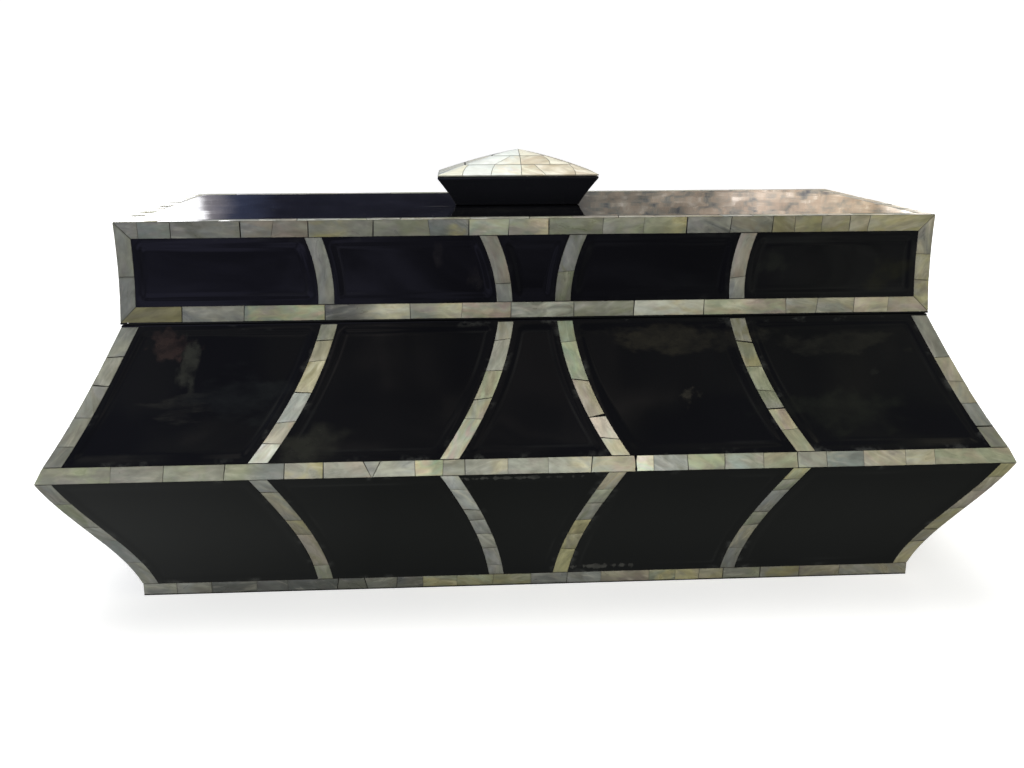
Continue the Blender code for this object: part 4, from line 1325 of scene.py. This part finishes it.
paper = pale("pale_paper", (0.765, 0.77, 0.80))
near = stage_mesh("floor_near", circle(NEAR, 0.0), [tuple(range(SEG))], paper)
near.visible_glossy = False
near.visible_diffuse = False
rings = [circle(NEAR, 0.0), circle(BEND, 0.0)]
for k in range(1, 13):
    a = math.radians(90 * k / 12)
    rings.append(circle(BEND + (WALL_R - BEND) * math.sin(a), (WALL_R - BEND) * (1 - math.cos(a))))
rings.append(circle(WALL_R, WALL_H))
far_v = [p for r in rings for p in r]
far_f = [(SEG * q + k, SEG * q + (k + 1) % SEG, SEG * (q + 1) + (k + 1) % SEG, SEG * (q + 1) + k)
         for q in range(len(rings) - 1) for k in range(SEG)]
far = stage_mesh("floor_far", far_v, far_f, paper)
for p in far.data.polygons:
    p.use_smooth = True
far.visible_glossy = False
far.visible_diffuse = False


def card(name, corners, colour=(1, 1, 1), strength=1.0, paint=None):
    """Soft panel that only shows as gloss on the lacquer and the shell."""
    mat = bpy.data.materials.new(name)
    mat.use_nodes = True
    tree = mat.node_tree
    tree.nodes.clear()
    out = tree.nodes.new("ShaderNodeOutputMaterial")
    glow = node(tree, "ShaderNodeEmission", in_Strength=strength)
    glow.inputs["Color"].default_value = (*colour, 1)
    if paint:
        paint(tree, node(tree, "ShaderNodeTexCoord").outputs["Object"], glow)
    link(tree, glow.outputs[0], out.inputs["Surface"])
    obj = stage_mesh(name, corners, [(0, 1, 2, 3)], mat)
    obj.visible_camera = False
    obj.visible_diffuse = False
    obj.visible_transmission = False
    obj.visible_volume_scatter = False
    obj.visible_shadow = False
    return obj


def back_paint(tree, pos, glow):
    """Uneven light for the lid's top to mirror, in listed tones and places:
    bright at the left, dark in the middle, warm and patchy at the right."""
    xyz = node(tree, "ShaderNodeSeparateXYZ")
    link(tree, pos, xyz.inputs[0])
    x01 = math_node(tree, "MULTIPLY_ADD", xyz.outputs[0], 1 / 3.2, 0.5)

    def at(x):
        return (x + 1.6) / 3.2

    wobble = noise(tree, stretched(tree, pos, (14.0, 1.0, 120.0)), 1.0, 2.0, 0.5)
    x01 = math_node(tree, "MULTIPLY_ADD", math_node(tree, "SUBTRACT", wobble, 0.5), 0.03, x01)
    light = ramp(tree, [(at(-0.72), (4.0, 4.0, 4.1)), (at(-0.66), (0.34, 0.32, 0.35)),
                        (at(-0.58), (0.045, 0.055, 0.10)), (at(-0.48), (0.017, 0.018, 0.030)),
                        (at(0.25), (0.015, 0.015, 0.021)), (at(0.31), (0.26, 0.25, 0.23)),
                        (at(0.60), (0.40, 0.36, 0.32)), (at(0.74), (0.95, 0.84, 0.76)),
                        (at(1.04), (0.80, 0.68, 0.54)), (at(1.14), (2.4, 2.3, 2.2))],
                 x01).outputs[0]
    glints = noise(tree, stretched(tree, pos, (330.0, 1.0, 430.0)), 1.0, 2.0, 0.6)
    light = mix_colour(tree, "MULTIPLY", 1.0, light,
                       grey_ramp(tree, [(0.58, 1.0), (0.66, 1.35), (0.74, 2.5)], glints))
    drift = noise(tree, stretched(tree, pos, (9.0, 1.0, 45.0)), 1.0, 2.0, 0.5)
    light = mix_colour(tree, "MULTIPLY", 1.0, light,
                       grey_ramp(tree, [(0.34, 0.82), (0.66, 1.30)], drift))
    patch = noise(tree, stretched(tree, pos, (22.0, 1.0, 60.0)), 1.0, 3.0, 0.6, 0.8)
    uneven = ramp(tree, [(0.32, (0.30, 0.34, 0.42)), (0.43, (0.70, 0.74, 0.72)),
                         (0.52, (1.05, 0.92, 0.80)), (0.60, (1.15, 1.10, 1.0)),
                         (0.70, (1.9, 1.85, 1.8))], patch).outputs[0]
    right = grey_ramp(tree, [(at(0.26), 0.0), (at(0.32), 1.0)], x01)
    link(tree, mix_colour(tree, "MULTIPLY", right, light, uneven), glow.inputs["Color"])


card("card_back", [(-1.6, 2.0, 0.12), (1.6, 2.0, 0.12), (1.6, 2.0, 0.62), (-1.6, 2.0, 0.62)],
     strength=1.0, paint=back_paint)
card("card_back_mid", [(-1.2, 2.1, 0.66), (0.2, 2.1, 0.66), (0.2, 2.1, 0.93), (-1.2, 2.1, 0.93)],
     strength=0.9)
card("card_back_high", [(-2.2, 2.2, 0.95), (2.2, 2.2, 0.95), (2.2, 2.2, 1.7), (-2.2, 2.2, 1.7)],
     (1.0, 0.99, 0.98), 0.9)
card("card_left_high", [(-2.2, -1.6, 1.0), (-2.2, 1.6, 1.0), (-2.2, 1.6, 1.6), (-2.2, -1.6, 1.6)],
     (0.96, 0.98, 1.0), 0.6)
card("card_right_high", [(2.2, -1.6, 1.0), (2.2, 1.6, 1.0), (2.2, 1.6, 1.6), (2.2, -1.6, 1.6)],
     (1.0, 0.97, 0.92), 0.5)


def floor_paint(tree, pos, glow):
    xyz = node(tree, "ShaderNodeSeparateXYZ")
    link(tree, pos, xyz.inputs[0])
    along = math_node(tree, "MULTIPLY_ADD", xyz.outputs[0], 1.0, 0.5)
    tone = ramp(tree, [(0.27, (0.33, 0.345, 0.33)), (0.42, (0.13, 0.14, 0.125)),
                       (0.62, (0.125, 0.134, 0.118)), (0.95, (0.115, 0.118, 0.098))], along).outputs[0]
    link(tree, tone, glow.inputs["Color"])


card("card_floor", [(-0.8, -0.42, -0.002), (0.8, -0.42, -0.002), (0.8, 0.8, -0.002), (-0.8, 0.8, -0.002)],
     strength=1.0, paint=floor_paint)


def area_light(name, where, target, size, power, colour=(1, 1, 1)):
    data = bpy.data.lights.new(name, "AREA")
    data.shape = "RECTANGLE"
    data.size, data.size_y = size
    data.energy = power
    data.color = colour
    obj = bpy.data.objects.new(name, data)
    bpy.context.scene.collection.objects.link(obj)
    obj.location = where
    obj.rotation_euler = (Vector(target) - Vector(where)).to_track_quat("-Z", "Y").to_euler()
    obj.visible_glossy = False
    return obj


area_light("key_top", (-0.25, 0.35, 1.75), (0, 0.0, 0.1), (1.6, 1.2), 25.0, (1.0, 0.99, 0.92))
area_light("fill_front", (-0.3, -1.6, 0.42), (0, 0, 0.1), (2.2, 0.7), 20.0, (1.0, 1.0, 0.90))
area_light("fill_low", (0.1, -1.1, 0.08), (0, 0, 0.06), (1.6, 0.12), 3.2, (1.0, 1.0, 0.92))
area_light("fill_right", (1.7, -0.5, 0.7), (0, 0, 0.1), (1.0, 1.0), 12.0, (1.0, 0.93, 0.76))
area_light("fill_left", (-1.7, -0.4, 0.9), (0, 0, 0.1), (1.0, 1.0), 6.0, (0.95, 1.0, 0.98))
area_light("fill_back", (0.3, 1.7, 0.55), (0, 0, 0.08), (1.6, 0.8), 8.0, (1.0, 1.0, 0.96))

# Dim surroundings: near black, with soft patches overhead for the lacquer to show.
world = bpy.data.worlds.new("studio")
bpy.context.scene.world = world
world.use_nodes = True
tree = world.node_tree
background = tree.nodes["Background"]
direction = node(tree, "ShaderNodeTexCoord").outputs["Generated"]
patch = noise(tree, direction, 5.2, 4.0, 0.55, 0.9)
soft = ramp(tree, [(0.44, (0.040, 0.041, 0.060)), (0.56, (0.095, 0.095, 0.095)),
                   (0.64, (0.20, 0.185, 0.165)), (0.74, (0.42, 0.37, 0.32))], patch,
            "EASE").outputs[0]
axes = node(tree, "ShaderNodeSeparateXYZ")
link(tree, direction, axes.inputs[0])
across = math_node(tree, "MULTIPLY_ADD", axes.outputs[0], 0.5, 0.5)
level = ramp(tree, [(0.30, (0.18, 0.18, 0.31)), (0.44, (0.11, 0.11, 0.17)),
                    (0.56, (0.040, 0.040, 0.055)), (0.62, (0.045, 0.048, 0.050)),
                    (0.68, (0.115, 0.120, 0.10))], across).outputs[0]
drift = noise(tree, direction, 7.0, 4.0, 0.6, 1.0)
level = mix_colour(tree, "MULTIPLY", 1.0, level,
                   grey_ramp(tree, [(0.36, 0.55), (0.68, 1.7)], drift, "EASE"))
soft = mix_colour(tree, "MULTIPLY", 1.0, soft,
                  ramp(tree, [(0.32, (1.5, 1.55, 1.75)), (0.44, (0.75, 0.75, 0.85)),
                              (0.56, (0.55, 0.55, 0.62)), (0.70, (0.9, 0.95, 0.85))], across).outputs[0])
overhead = grey_ramp(tree, [(0.25, 0.0), (0.45, 1.0)], axes.outputs[2])
link(tree, mix_colour(tree, "MIX", overhead, level, soft), background.inputs["Color"])
background.inputs["Strength"].default_value = 1.0

# ---------------------------------------------------------------------- camera
cam_data = bpy.data.cameras.new("camera")
cam_data.lens = 34.850
cam_data.sensor_width = 36.0
cam_data.sensor_fit = "HORIZONTAL"
camera = bpy.data.objects.new("camera", cam_data)
bpy.context.scene.collection.objects.link(camera)
camera.location = (-0.03397, -0.53111, 0.23430)
camera.rotation_euler = tuple(math.radians(a) for a in (74.2258, 0.2117, -3.0848))
bpy.context.scene.camera = camera
bpy.context.scene.view_settings.view_transform = "Standard"
